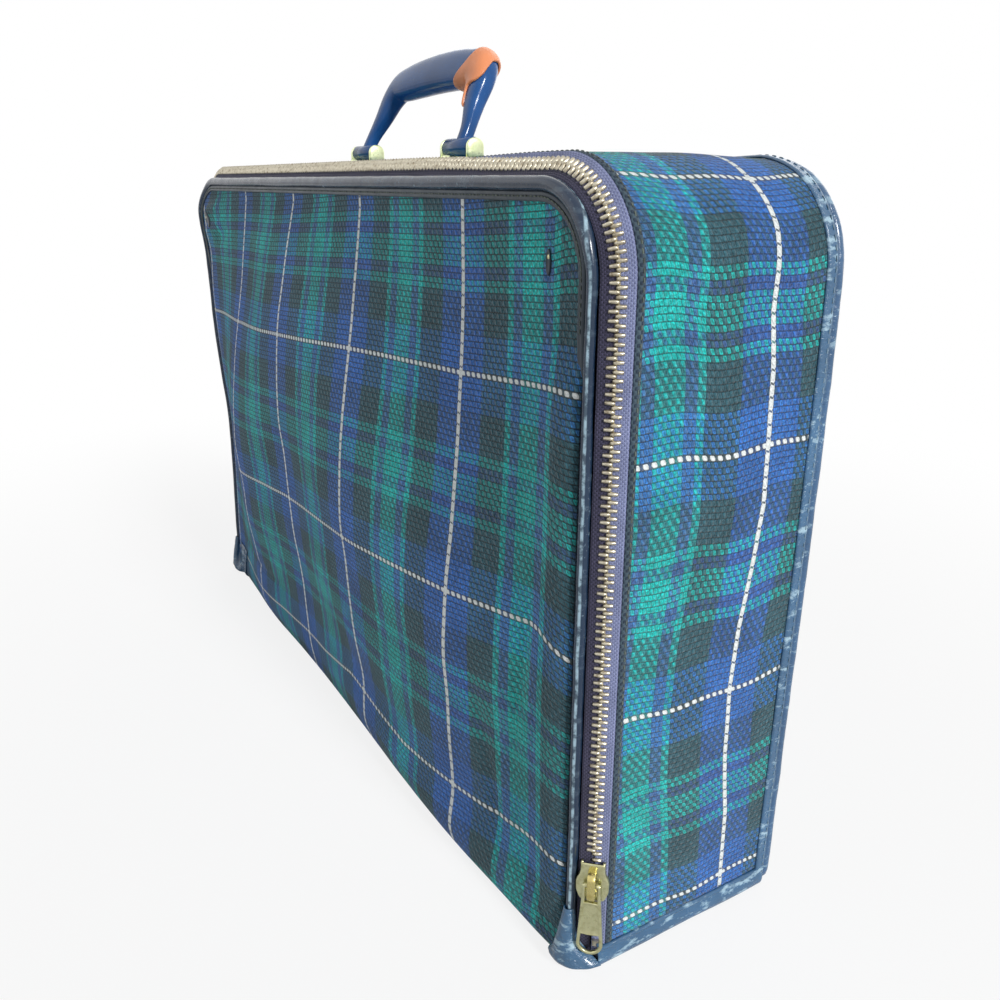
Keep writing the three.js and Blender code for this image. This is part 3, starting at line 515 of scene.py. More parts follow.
def paint(red, green, blue):
    """Screen colour 0-255 to linear: c/12.92 when dark, else ((c + 0.055)/1.055) to the 2.4."""
    share = np.array([red, green, blue]) / 255
    light = np.where(share <= 0.04045, share / 12.92, ((share + 0.055) / 1.055) ** 2.4)
    return (*[float(v) for v in light], 1.0)


print("node helpers ready")

# %% [markdown]
# The cloth is a coarse plain weave, and its check is a tartan: the same list of coloured yarns
# runs across it and along it, there and back again from one white yarn. Where two yarns cross,
# one is on top, and which one changes like the squares of a chessboard. That is the product of
# two sine waves, one for each direction. The yarns are fuzzy and squeeze past each other, so each
# crossing shows both colours, and a small hole opens in every second square. The holes and the
# gaps between the yarns are painted darker, as shade, and the yarns' crests lighter, as highlight.
# Real yarn has one colour all along, so the colour is looked up once per yarn. The white yarns
# are a little fatter and show as dashes: the other yarns pass over them at every second crossing.

# %% The tartan as a node group
REPEAT = 0.1113
WARP_YARNS = 52
WEFT_YARNS = 40
WARP_LIST = [("white", 1), ("blue", 8), ("dark", 9), ("green", 2), ("navy", 3), ("green", 7)]
WEFT_LIST = [("white", 1), ("blue", 6), ("dark", 7), ("green", 2), ("navy", 2), ("green", 5)]
WHITE, DARK = paint(244, 250, 250), paint(44, 82, 93)
WARP_PAINT = {"white": WHITE, "blue": paint(46, 94, 166), "dark": DARK,
              "green": paint(28, 162, 160), "navy": paint(58, 104, 152)}
WEFT_PAINT = {"white": WHITE, "blue": paint(46, 116, 192), "dark": DARK,
              "green": paint(16, 184, 176), "navy": paint(54, 84, 140)}


def yarn_colours(phase, yarns, colours):
    """Looks up each yarn's colour: phase counts repeats, and its fraction picks the yarn. The
    whole repeat is the list to its middle stripe, and back without either end."""
    full = yarns + yarns[-2:0:-1]
    count = sum(number for _, number in full)
    fraction = maths("FRACT", phase)
    middle = (maths("FLOOR", fraction * count) + 0.5) / count
    table = add_node(phase.tree, "ShaderNodeValToRGB", {"Fac": middle})
    stops = table.color_ramp.elements
    table.color_ramp.interpolation = "CONSTANT"
    start = 0
    for i, (name, number) in enumerate(full):
        stop = stops[0] if i == 0 else stops.new(start / count)
        stop.color = colours[name]
        start += number
    while len(stops) > len(full):
        stops.remove(stops[-1])
    return Flow(table.outputs["Color"]), maths("LESS_THAN", fraction, 1 / count)


def from_white(phase, count):
    """How far a place is from the middle of the nearest white yarn, counted in yarns."""
    return abs(maths("FRACT", phase + (0.5 - 0.5 / count)) - 0.5) * count


def make_tartan():
    """Height and colour of the woven check from a place in metres across and along the cloth."""
    tree, given = new_group("tartan_weave", Place=None, Least=0.3, Contrast=1.5)
    place = given["Place"]
    across, along = (part / REPEAT for part in split(place)[:2])
    warp, _ = yarn_colours(across, WARP_LIST, WARP_PAINT)
    weft, white_weft = yarn_colours(along, WEFT_LIST, WEFT_PAINT)
    warp_count, weft_count = across * WARP_YARNS, along * WEFT_YARNS

    def wave(count, other, slant):
        """sin(pi x count), where the count is shifted across the other yarn to lean the edges."""
        return maths("SINE", (count + (maths("FRACT", other) - 0.5) * slant) * math.pi)

    level = wave(weft_count, warp_count, 0.0)
    leaning = wave(warp_count, weft_count, 0.45)
    top = leaning * level
    size = abs(top)
    over = ramp(top, -0.42, 0.14)
    hole = ramp(top, -0.92, -0.45, 1.0, 0.0)

    # The white yarns: where their dashes show, and the shadow beside them
    weft_dash = ramp(leaning + (1.0 - level) * 0.9, 0.42, 0.58, 1.0, 0.0) * ramp(level, 0.3, 0.45)
    warp_dash = ramp(wave(weft_count, warp_count, 0.3), -0.93, -0.84)
    upright = from_white(across, WARP_YARNS)
    white = maths("MAXIMUM", weft_dash * white_weft, warp_dash * ramp(upright, 0.58, 0.74, 1.0, 0.0))
    beside = maths("MAXIMUM", white_weft * ramp(level, 0.1, 0.35), ramp(upright, 0.74, 0.94, 1.0, 0.0))

    # Painted shade and highlight: darker in the gaps between rows and columns and in the holes,
    # lighter on the yarns' crests. Thick and thin yarn, fibres and patches vary the tone at random.
    fibre = ramp(noise(place, 950.0, 3.0, 0.7), 0.36, 0.64, 0.72, 1.28)
    patch = ramp(noise(place, 40.0, 3.0), 0.3, 0.7, 0.84, 1.16)
    slub = ramp(noise(place, 460.0), 0.36, 0.64, 0.8, 1.2)
    rows = ramp(abs(level), 0.0, 0.6, 0.52, 1.135)
    columns = ramp(abs(leaning), 0.0, 0.5, 0.72, 1.08)
    shade = (rows * columns * ramp(hole, 0, 1, 1.0, 0.78)) ** given["Contrast"]
    shade = shade * ramp(beside, 0, 1, 1.0, 0.45) * slub * fibre * patch
    colour = dimmed(mixed(ramp(over, 0, 1, given["Least"], 0.9), weft, warp), shade)
    colour = mixed(white, colour, dimmed(WHITE, ramp(fibre, 0.6, 1.4, 0.9, 1.12)))
    hill = size ** 0.6 * ramp(over, 0, 1, 0.55, 1.0) - hole * 0.45 + white * 0.5 + fibre * 0.35
    return give(tree, Color=colour, Height=hill, Rough=ramp(size, 0.0, 1.0, 0.95, 0.78))


TARTAN = make_tartan()
print("tartan group", len(TARTAN.nodes), "nodes")

# %% [markdown]
# The other finishes share three groups. Plastic skin (the vinyl, the facing and the moulded
# handle) has a fine pebbled grain, soft dents, and scuffs that are paler and rougher; the same
# pale colour also paints highlights on its crinkles' ridges and along one line of a piping. Small
# plain weave serves the zip's tape, the lining and the board's paper; its lower squares are painted
# darker, as shade. Worn metal is duller in patches, with brighter rubbed spots and a darker tarnish.

# %% Groups for plastic skin, small weave and worn metal
def make_skin():
    """Grain, scuffs and sharp crinkles from a place in metres: colour, roughness and height.
    The pale scuff colour also paints highlights on the crinkles' ridges and along one line of a piping.
    """
    tree, given = new_group(
        "plastic_skin", Place=None, Skin=paint(40, 70, 100), Scuff=paint(120, 160, 190),
        Grain=900.0, Wear=0.5, Rough=0.3, Crinkle=0.0, Rub=0.0,
    )
    place, crinkle = given["Place"], given["Crinkle"]
    dent = noise(place, 130.0)
    cloudy = noise(place, 28.0, 3.0, 0.55)
    scuff_glint_mask = ramp(noise(place, 420.0, 4.0, 0.7), 0.58, 0.7) * ramp(cloudy, 0.42, 0.62) * given["Wear"]
    stretched = add_node(tree, "ShaderNodeVectorMath", {0: place, 1: (1.0, 1.0, 2.6)}, operation="MULTIPLY")
    bent = noise(Flow(stretched.outputs[0]), 85.0, 4.0, 0.66)
    # Painted highlights: pale lines on the crinkles' ridges and one pale line along a piping, mixed in with
    # the real scuffs.
    ridge_highlight = ramp(bent, 0.53, 0.66) * crinkle
    line_highlight = given["Rub"] * ramp(noise(place, 260.0, 3.0, 0.6), 0.38, 0.6, 0.15, 1.0)
    scuff_glint_mask = maths("MAXIMUM", scuff_glint_mask, maths("MAXIMUM", line_highlight, ridge_highlight * 0.75))
    skin = dimmed(given["Skin"], ramp(cloudy, 0.25, 0.75, 0.82, 1.18))
    rough = given["Rough"] + scuff_glint_mask * 0.3 + ramp(dent, 0.3, 0.7, -0.04, 0.06)
    height = noise(place, given["Grain"]) * 0.35 + dent * 2.0 + abs(bent - 0.5) * -7.0 * crinkle
    return give(tree, Color=mixed(scuff_glint_mask, skin, given["Scuff"]), Rough=rough, Height=height)


def make_small_weave():
    """Two sine waves make fine squares; every second one is the other colour and lies lower.
    That lower colour is given darker than the upper one, as painted shade.
    """
    tree, given = new_group(
        "small_weave", Place=None, Upper=paint(90, 95, 150), Lower=paint(60, 64, 110), Pitch=0.0009
    )
    place, turns = given["Place"], math.pi / given["Pitch"]
    x, y = (maths("SINE", part * turns) for part in split(place)[:2])
    top = x * y
    # The lower squares take the darker colour: painted shade.
    colour = mixed(ramp(top, -0.4, 0.2), given["Lower"], given["Upper"])
    patch = ramp(noise(place, 60.0, 3.0), 0.3, 0.7, 0.86, 1.12)
    return give(tree, Color=dimmed(colour, patch), Height=abs(top))


def make_metal():
    """Tarnish and rubbed spots from a place in metres: colour, roughness and height."""
    tree, given = new_group(
        "worn_metal", Place=None, Metal=paint(200, 195, 150), Tarnish=paint(130, 120, 90),
        Rough=0.3, Scale=300.0,
    )
    place, scale = given["Place"], given["Scale"]
    cloudy = noise(place, scale, 3.0, 0.6)
    fine = noise(place, scale * 5.0, 2.0, 0.6)
    dull = ramp(cloudy, 0.42, 0.78)
    rough = given["Rough"] + dull * 0.2 + ramp(fine, 0.3, 0.7, -0.05, 0.08)
    return give(tree, Color=mixed(dull, given["Metal"], given["Tarnish"]), Rough=rough, Height=fine + cloudy)


SKIN, SMALL_WEAVE, WORN_METAL = make_skin(), make_small_weave(), make_metal()
print("groups", [group.name for group in (SKIN, SMALL_WEAVE, WORN_METAL)])

# %% [markdown]
# Each finish is one of those groups with its own values. The shader itself stays in the
# material, and whatever is the same all over, such as the sheen of cloth or the clear coat on
# vinyl, is set on the shader's own socket.

# %% How a finish is made
def new_finish(name, **fixed):
    """A new material with a Principled shader; values that never change are set on the shader."""
    made = bpy.data.materials.new(name)
    made.use_nodes = True
    for label, value in fixed.items():
        made.node_tree.nodes["Principled BSDF"].inputs[label.replace("_", " ")].default_value = value
    return made, made.node_tree


def dress(made, group, bump, values):
    """Feeds a material's shader from one group: its colour, its roughness where it has one, and
    its height in metres x bump through a Bump node."""
    tree = made.node_tree
    out = add_node(tree, "ShaderNodeGroup", values, node_tree=group).outputs
    shader = tree.nodes["Principled BSDF"].inputs
    feed(shader["Base Color"], out["Color"])
    if "Rough" in out:
        feed(shader["Roughness"], out["Rough"])
    hills = add_node(tree, "ShaderNodeBump", {"Height": out["Height"], "Distance": bump})
    feed(shader["Normal"], hills.outputs[0])
    return made


def object_place(tree):
    """The piece's own coordinates, which stay with it when it moves."""
    return Flow(add_node(tree, "ShaderNodeTexCoord").outputs["Object"])


def cloth_place(tree):
    """The piece's pattern map, in metres across and along the cloth."""
    return Flow(add_node(tree, "ShaderNodeUVMap", uv_map="cloth").outputs[0])


def tartan_finish(name, least=0.3, contrast=1.5):
    """The woven check, read from the piece's pattern map. least is how much of the upright
    yarn's colour shows where the crosswise yarn is on top, and contrast deepens the shading."""
    made, tree = new_finish(name, Roughness=0.9, Sheen_Weight=0.25, Specular_IOR_Level=0.25)
    values = {"Place": cloth_place(tree), "Least": least, "Contrast": contrast}
    return dress(made, TARTAN, 0.0007, values)


def skin_finish(name, skin, scuff_and_glint, rough, wear, coat, grain=900.0, dents=0.00012,
                crinkle=0.0, highlight_stripe=None, gloss=0.5):
    """Glossy or matt plastic skin, in the piece's own coordinates. A painted highlight may be given:
    a pale line along a piping, described by its place round the piping on the ends, its width, how
    pale it is, and its place along the top, all read from the pattern map."""
    fixed = {"Coat_Weight": coat, "Coat_Roughness": 0.12, "Specular_IOR_Level": gloss}
    made, tree = new_finish(name, Roughness=rough, **fixed)
    values = {"Place": object_place(tree), "Skin": skin, "Scuff": scuff_and_glint, "Crinkle": crinkle,
              "Grain": grain, "Wear": wear, "Rough": rough}
    if highlight_stripe:
        on_ends, width, pale, on_top = highlight_stripe
        round_it, high = split(cloth_place(tree))[0], split(object_place(tree))[2]
        away = abs(round_it - ramp(high, 0.325, 0.345, on_ends, on_top))
        values["Rub"] = ramp(away, width * 0.3, width, pale, 0.0)
    return dress(made, SKIN, dents, values)


def weave_finish(name, upper, lower, pitch, mapped=True):
    """Small plain weave, from the pattern map or from the piece's own coordinates."""
    made, tree = new_finish(name, Roughness=0.85, Sheen_Weight=0.1, Specular_IOR_Level=0.25)
    place = cloth_place(tree) if mapped else object_place(tree)
    values = {"Place": place, "Upper": upper, "Lower": lower, "Pitch": pitch}
    return dress(made, SMALL_WEAVE, pitch * 0.25, values)


def metal_finish(name, metal, tarnish, rough, scale):
    """Worn metal, in the piece's own coordinates."""
    made, tree = new_finish(name, Roughness=rough, Metallic=1.0)
    values = {"Place": object_place(tree), "Metal": metal, "Tarnish": tarnish, "Rough": rough, "Scale": scale}
    return dress(made, WORN_METAL, 0.00003, values)


print("four kinds of finish")

# %% [markdown]
# The vinyl differs from piece to piece: pale blue under the case and on the back edge, with scuffs
# and painted highlights along its crinkles, nearly black on the lid's piping, dull grey on the
# facing. Both pipings carry a painted highlight, one pale line along them. The handle is a
# clearer blue.

# %% The finishes
tartan = tartan_finish("tartan_cloth")
# The lid's copy deepens the painted shade and highlight of the weave.
lid_tartan = tartan_finish("lid_tartan_cloth", least=0.48, contrast=2.0)
# The pale blue paints the scuffs, and also painted highlights on the crinkles and along the pipings.
NAVY, PALE_BLUE = paint(30, 50, 74), paint(184, 216, 232)
vinyl = skin_finish("glossy_vinyl", paint(58, 100, 136), PALE_BLUE, 0.18, 0.9, 0.6, dents=0.0003, crinkle=1.0)
vinyl_flat = skin_finish("flat_vinyl", paint(60, 104, 142), PALE_BLUE, 0.22, 0.8, 0.5,
                         dents=0.00025, crinkle=1.0)
# Both pipings carry a painted highlight, a pale line along them, set by the tuple of four numbers.
front_piping = skin_finish("front_piping_vinyl", NAVY, PALE_BLUE, 0.2, 0.4, 0.3, dents=0.00012,
                           crinkle=0.1, highlight_stripe=(0.0108, 0.0011, 0.8, 0.0068), gloss=0.35)
rear_piping = skin_finish("rear_piping_vinyl", paint(58, 98, 138), PALE_BLUE, 0.2, 0.8, 0.5, dents=0.0003,
                          crinkle=0.6, highlight_stripe=(0.0128, 0.0018, 0.6, 0.0128))
facing_skin = skin_finish("facing_vinyl", paint(50, 62, 72), paint(120, 136, 140), 0.4, 0.4, 0.1, gloss=0.3)
moulded = skin_finish("moulded_plastic", paint(31, 82, 142), paint(120, 165, 210), 0.17, 0.15, 0.1,
                      grain=500.0, dents=0.00003, gloss=0.25)
leather = skin_finish("tag_leather", paint(240, 152, 104), paint(255, 206, 170), 0.4, 0.5, 0.1,
                      grain=700.0, dents=0.00015, gloss=0.3)
# The two tapes are one tape: the case's is its own lavender-grey painted lighter, as lit, and the lid's is
# painted darker, as in shade.
tape_weave = weave_finish("rear_tape_painted_lit", paint(146, 154, 192), paint(118, 126, 166), 0.0009)
shaded_tape = weave_finish("front_tape_painted_shade", paint(72, 70, 94), paint(50, 50, 68), 0.0009)
lining_weave = weave_finish("lining_cotton", paint(150, 158, 172), paint(116, 124, 140), 0.0008)
fold_weave = weave_finish("folded_edge_weave", paint(74, 92, 104), paint(46, 60, 76), 0.0016)
board_paper = weave_finish("board_paper", paint(150, 132, 108), paint(132, 116, 94), 0.004, mapped=False)
pale_thread = weave_finish("pale_thread", paint(128, 152, 170), paint(92, 116, 136), 0.0012, mapped=False)
olive_thread = weave_finish("olive_thread", paint(112, 122, 112), paint(76, 84, 80), 0.0012, mapped=False)
teeth_metal = metal_finish("teeth_metal", paint(200, 193, 174), paint(140, 128, 108), 0.34, 500.0)
slider_metal = metal_finish("slider_metal", paint(206, 204, 162), paint(172, 168, 126), 0.3, 260.0)
gold_metal = metal_finish("bridge_metal", paint(214, 200, 134), paint(186, 170, 104), 0.26, 260.0)
bracket_metal = metal_finish("bracket_brass", paint(232, 240, 196), paint(206, 212, 160), 0.3, 160.0)
steel = metal_finish("plate_steel", paint(150, 152, 156), paint(100, 98, 96), 0.4, 120.0)
print("finishes", len(bpy.data.materials))


def put_on(piece, finish, body, slot, *nodes):
    """Gives a piece its finish and the body it rides on, and hides the nodes it stands for. slot is not used.
    """
    piece.data.materials.clear()
    piece.data.materials.append(finish)
    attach(piece, body)
    if nodes:
        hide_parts(*nodes)
    print(piece.name, len(piece.data.polygons), "faces on", body)
    return piece


def thickness(piece, depth):
    """A sheet is given its thickness on its inner side, with closed edges."""
    solid = piece.modifiers.new("thickness", "SOLIDIFY")
    solid.thickness = depth
    solid.offset = -1
    return piece

# %% [markdown]
# The cloth over the two ends and the top is one long strip, glued over board. It could be a
# flat band, but glued cloth is never quite even: it rises a little between its glued edges and
# ripples by a few tenths of a millimetre. Its front edge is folded under beside the zip. The
# pattern map is drawn over it as the photograph shows: the white yarns wander a little.

# %% Cloth round the ends and the top
def eased(values, marks, steps):
    """Values looked up between marks, carried on at the last slope beyond either end."""
    marks, steps = np.array(marks, float), np.array(steps, float)
    inner = np.interp(values, marks, steps)
    below = steps[0] + (values - marks[0]) * (steps[1] - steps[0]) / (marks[1] - marks[0])
    above = steps[-1] + (values - marks[-1]) * (steps[-1] - steps[-2]) / (marks[-1] - marks[-2])
    return np.where(values < marks[0], below, np.where(values > marks[-1], above, inner))


WHITE_WARP = 0.5 * REPEAT / WARP_YARNS
WHITE_WEFT = 0.5 * REPEAT / WEFT_YARNS
END_WEFTS = [0.023, 0.130, 0.244, 0.3025, 0.357]
END_WARP_S = [0.0, 0.015, 0.060, 0.093, 0.130, 0.160, 0.193, 0.217, 0.277, 0.300, 0.333, 0.360, 0.5]
END_WARP_Y = [0.0237, 0.0237, 0.0240, 0.0213, 0.0203, 0.022, 0.0263,
              0.0287, 0.0267, 0.024, 0.0253, 0.022, 0.022]


def end_cloth_map(s, y):
    """Across: depth less where the white upright yarn runs. Along: length, with the white
    crosswise yarns pulled to their places on the near end and the same on the far one."""
    near = np.minimum(s, ARCH_LENGTH - s)
    beside = y - np.interp(near, END_WARP_S, END_WARP_Y) + 0.003 * rise(near, 0.0, 0.1)
    across = np.where(beside < -0.0152, beside - 0.003, 1.197 * beside) + WHITE_WARP
    along = eased(near, END_WEFTS, REPEAT * np.array([0, 1, 2, 2.5, 3])) + WHITE_WEFT
    bow = 0.0012 * np.sin(y * 55 + 1.0) + 0.0008 * np.sin(y * 140 + s * 30)
    return np.stack([across, along + bow], -1)


def end_cloth():
    """Points: the outline less an inset that rises between the edges and ripples slightly."""
    s = even(0.0136, ARCH_LENGTH - 0.0136, 0.003)
    inset = np.array([2.2, 1.7, 1.1, 0.7, 0.6]) * MM
    y = np.array([-45.6, -46.3, -46.4, -46.0, -45.3]) * MM
    flat_y = even(-0.0445, 0.0526, 0.0022)
    y = np.concatenate([y, flat_y])
    inset = np.concatenate([inset, np.full(len(flat_y), 0.6 * MM)])
    side, length = np.meshgrid(y, s)
    crown = np.clip((side + 0.0465) * (0.0526 - side) / 0.0495**2, 0, 1)
    ripple = soft_noise(length * 60, side * 70, 3) * 0.35 * MM * np.sqrt(crown)
    lift = 0.55 * MM * crown + ripple
    points = carried(ARCH, s, inset[None] - lift, y)
    return surface("end_cloth", points, end_cloth_map(length, side), centre=MIDDLE)


case_cloth = thickness(end_cloth(), 0.9 * MM)
put_on(case_cloth, tartan, "case", "tartan", "gusset_cover")


def folded_edge():
    """The front edge is bound with a darker strip, folded over it: one section, carried round."""
    inset = np.array([1.9, 1.2, 0.6, 0.15, 0.0, 0.05, 0.35, 0.75]) * MM
    y = np.array([-46.2, -46.75, -46.85, -46.5, -45.8, -44.4, -43.4, -43.0]) * MM
    side, length = np.meshgrid(y, even(0.0136, ARCH_LENGTH - 0.0136, 0.003))
    points = carried(ARCH, length[:, 0], inset, y)
    return surface("folded_edge", points, np.stack([side, length], -1), centre=MIDDLE)


edge_strip = thickness(folded_edge(), 0.4 * MM)
put_on(edge_strip, fold_weave, "case", "tartan")

# %% [markdown]
# The base is a tray of thick vinyl, turned up over the foot of each end and stitched there. Its
# long lower corner is round, so it carries a bright line of light, and its upper edge is a
# folded lip. The tray is a strip carried up one end: its thickness grows at the lip.

# %% Vinyl tray under the case
def base_tray():
    """A strip along the lower ring from lip to lip, across the case's depth: it stands 0.6 mm
    proud, more in the folded lip and where it flares over the foot, with rounded edges."""
    top = 0.0145
    arc = RING[0, 2] - RING[0, 1]
    foot = RING[0, 1]
    reach = foot + arc + top - BASE_CORNER
    wall = np.concatenate([[0.0], np.linspace(0.0004, 0.0024, 5), even(0.003, reach, 0.0012)])
    s = np.concatenate([-(reach - wall), (reach - wall)[::-1][1:]])
    s = np.unique(np.round(s, 6))
    from_lip = reach - np.abs(s)
    lip = np.interp(from_lip, [0, 0.0004, 0.0012, 0.0021, 0.0026, 0.0034], [-0.7, 0.75, 1.15, 1.0, 0.3, 0.6])
    y = np.concatenate([[-51.0, -51.6, -51.3], np.linspace(-50.6, 52.0, 70), [52.6, 52.7]]) * MM
    edge = np.concatenate([[1.6, 0.6, 0.1], np.zeros(70), [0.3, 1.2]])
    side, length = np.meshgrid(y, s)
    uneven = soft_noise(length * 70, side * 90, 8) * 0.25
    height = walk(RING, np.mod(s, RING_LENGTH))[0][:, 1]
    flare = 1.6 * np.clip(1 - np.abs(height - 0.005) / 0.006, 0, 1)
    inset = (-lip[:, None] - flare[:, None] + edge[None] - uneven) * MM
    flat_bottom = np.clip((np.abs(s) - foot) / 0.004, 0, 1)[:, None]
    inset = np.where(inset < 0, inset * flat_bottom, inset)
    points = carried(RING, np.mod(s, RING_LENGTH), inset, y)
    points[..., 2] = np.maximum(points[..., 2], 0.00005)
    return surface("base_tray", points, np.stack([side, length], -1), centre=MIDDLE)


tray = thickness(base_tray(), 1.0 * MM)
put_on(tray, vinyl_flat, "case", "vinyl", "bottom_panel")

# %% [markdown]
# The back edge is bound: a flat vinyl strip lies over the edge of the cloth, held by one row of
# pale stitches, and a round glossy piping stands behind it. The strip is a shallow arch in
# section. The piping is a circle carried all the way round, pinched here and there by its seam.

# %% Binding and piping round the back edge
def binding_strip():
    """A strip 5.4 mm wide, 0.7 mm proud and slightly arched, carried round the whole ring. Under
    the case it thins to nothing."""
    s = np.linspace(0, RING_LENGTH, 460, endpoint=False)
    y = np.array([47.2, 47.3, 47.9, 48.9, 50.1, 51.3, 52.3, 52.8, 52.9]) * MM
    proud = np.array([-0.4, 0.25, 0.75, 0.72, 0.62, 0.72, 0.75, 0.3, -0.5])
    side, length = np.meshgrid(y, s)
    wave = soft_noise(length * 90, side * 200, 12) * 0.12
    line, out = walk(RING, s)
    low = np.clip((0.012 - line[:, 1]) / 0.012, 0, 1)[:, None]
    inset = -(proud[None] + wave) * (1 - low) * MM
    points = carried(RING, s, inset, y)
    points[..., 2] = np.maximum(points[..., 2], 0.0001)
    pattern = np.stack(np.meshgrid(y, np.append(s, RING_LENGTH)), -1)
    return surface("back_binding_strip", points, pattern, wrap_rows=True, centre=MIDDLE)


def tube_round(name, table, length, centre_inset, centre_y, radius, count, sides, wrap, seed, start=0.0):
    """A circle of points carried along a line; its radius and middle wander a little."""
    s = np.linspace(start, length, count, endpoint=not wrap)
    angle = np.linspace(0, 2 * np.pi, sides, endpoint=False)
    wander = soft_noise(s * 50, s * 0, seed)[:, None]
    pinch = soft_noise(s * 220, s * 0 + 2, seed + 1)[:, None]
    radius = np.broadcast_to(radius, s.shape)[:, None]
    size = radius * (1 + 0.05 * wander + 0.035 * pinch)
    inset = centre_inset + 0.25 * MM * wander + size * np.cos(angle)[None]
    y = centre_y + 0.2 * MM * pinch + size * np.sin(angle)[None]
    points = carried(table, s, inset, y)
    turn = np.append(angle, 2 * np.pi) * radius.mean()
    pattern = np.stack(np.meshgrid(turn, np.append(s, length) if wrap else s), -1)
    return surface(name, points, pattern, wrap_rows=wrap, wrap_cols=True, capped=not wrap)


binding = thickness(binding_strip(), 0.5 * MM)
put_on(binding, vinyl_flat, "case", "vinyl", "back_binding")
back_piping = tube_round(
    "back_piping_round", RING, RING_LENGTH, 3.05 * MM, 56.1 * MM, 3.0 * MM, 520, 16, True, 21
)
put_on(back_piping, rear_piping, "case", "vinyl", "back_piping")

# %% [markdown]
# The back is not in the photograph. A case like this has the same cloth there, pulled over
# board inside the piping. It is one grid in the shape of the outline: rows of points across,
# each as wide as the case is at that height, with a slight crown and slack ripples.

# %% Cloth of the back
def half_width(inset, z):
    """Half the outline's width at a height: full below the corner, on the curve above it."""
    radius = np.maximum(TOP_CORNER - inset, 0.0006)
    above = np.clip(z - (HIGH - TOP_CORNER), 0, radius)
    top = HALF - TOP_CORNER + np.sqrt(np.maximum(radius**2 - above**2, 0))
    return np.where(z <= HIGH - TOP_CORNER, HALF - inset, top)


def panel_grid(inset, low, columns, rows):
    """x and z of a grid that fills the outline, with rows packed closer in the top corners."""
    radius = TOP_CORNER - inset
    bend = HIGH - TOP_CORNER + radius * np.sin(np.linspace(0, QUARTER, 22)[1:])
    z = np.concatenate([np.linspace(low, HIGH - TOP_CORNER, rows), bend])
    a = np.linspace(-1, 1, columns)
    x = a[None] * half_width(inset, z)[:, None]
    return x, np.broadcast_to(z[:, None], x.shape)


def back_panel():
    """y = 56 mm + crown + ripple, where the crown is a flat-topped hill over the panel."""
    inset = 4.6 * MM
    x, z = panel_grid(inset, 0.0046, 150, 90)
    reach = 1 - (x / (HALF - inset)) ** 6
    up = 1 - ((z - 0.18) / (0.18 - inset + 0.0005)) ** 6
    hill = np.clip(reach, 0, 1) * np.clip(up, 0, 1)
    y = 0.0558 + 1.6 * MM * hill + soft_noise(x * 22, z * 22, 31) * 0.35 * MM * hill
    pattern = np.stack([x + 0.006 + 0.002 * np.sin(z * 25), z + 0.012 + 0.0015 * np.sin(x * 30)], -1)
    return surface("back_cloth", np.stack([x, y, z], -1), pattern, centre=MIDDLE)


back_cloth = thickness(back_panel(), 0.8 * MM)
put_on(back_cloth, tartan, "case", "tartan", "back_cover")

# %% [markdown]
# The boards inside are never seen in the photograph, but they have settled with the cloth, so
# they are made here as well: the frame's board round the ends, the top and the base, and the
# back's board. Both are plain sheets of card, a few millimetres thick.

# %% Boards under the cloth
def frame_board():
    """The ring of the outline, 1.75 mm inside it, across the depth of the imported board."""
    low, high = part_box("gusset_board")
    y = even(low[1] + 0.0003, high[1] - 0.0003, 0.006)
    s = np.linspace(0, RING_LENGTH, 260, endpoint=False)
    points = carried(RING, s, np.full(len(y), 1.75 * MM), y)
    return surface("frame_board", points, wrap_rows=True, centre=MIDDLE)


def back_card():
    """A panel in the shape of the outline, just inside the back's cloth."""
    low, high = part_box("back_board")
    x, z = panel_grid(5.6 * MM, 0.0056, 80, 50)
    return surface("back_card", np.stack([x, 0 * x + high[1] - 0.0002, z], -1), centre=MIDDLE)


put_on(thickness(frame_board(), 2.4 * MM), board_paper, "case", "board", "gusset_board")
put_on(thickness(back_card(), 1.8 * MM), board_paper, "case", "board", "back_board")

# %% [markdown]
# A stitch is a short thread that rises out of one hole and goes down the next: a little capsule,
# bowed up in the middle. One capsule of a few faces is copied to every place at once.

# %% Stitches
def loft(rings):
    """A closed small shape from rings of six or eight points, capped with quads."""
    rings = np.asarray(rings, float)
    count, sides = rings.shape[:2]
    quads, _ = grid_quads(count, sides, wrap_cols=True)
    lid = [[0, 1, 2, 3], [0, 3, 4, 5]] if sides == 6 else [[0, 1, 2, 3], [0, 3, 4, 7], [7, 4, 5, 6]]
    first = np.array(lid)
    last = (count - 1) * sides + first[:, ::-1]
    return rings.reshape(-1, 3), np.concatenate([quads, first, last])


def stitch_shape(length, width, height):
    """Rings of six points along z; the middle ones are wider and stand higher."""
    angle = np.linspace(0, 2 * np.pi, 6, endpoint=False)
    along = np.array([-0.5, -0.36, 0.0, 0.36, 0.5]) * length
    wide = np.array([0.35, 0.9, 1.0, 0.9, 0.35]) * width / 2
    lift = np.array([-0.6, 0.1, 0.35, 0.1, -0.6]) * height
    x = np.cos(angle)[None] * wide[:, None]
    y = np.sin(angle)[None] * wide[:, None] * 0.7 + lift[:, None]
    return loft(np.stack([x, y, np.broadcast_to(along[:, None], (5, 6))], -1))


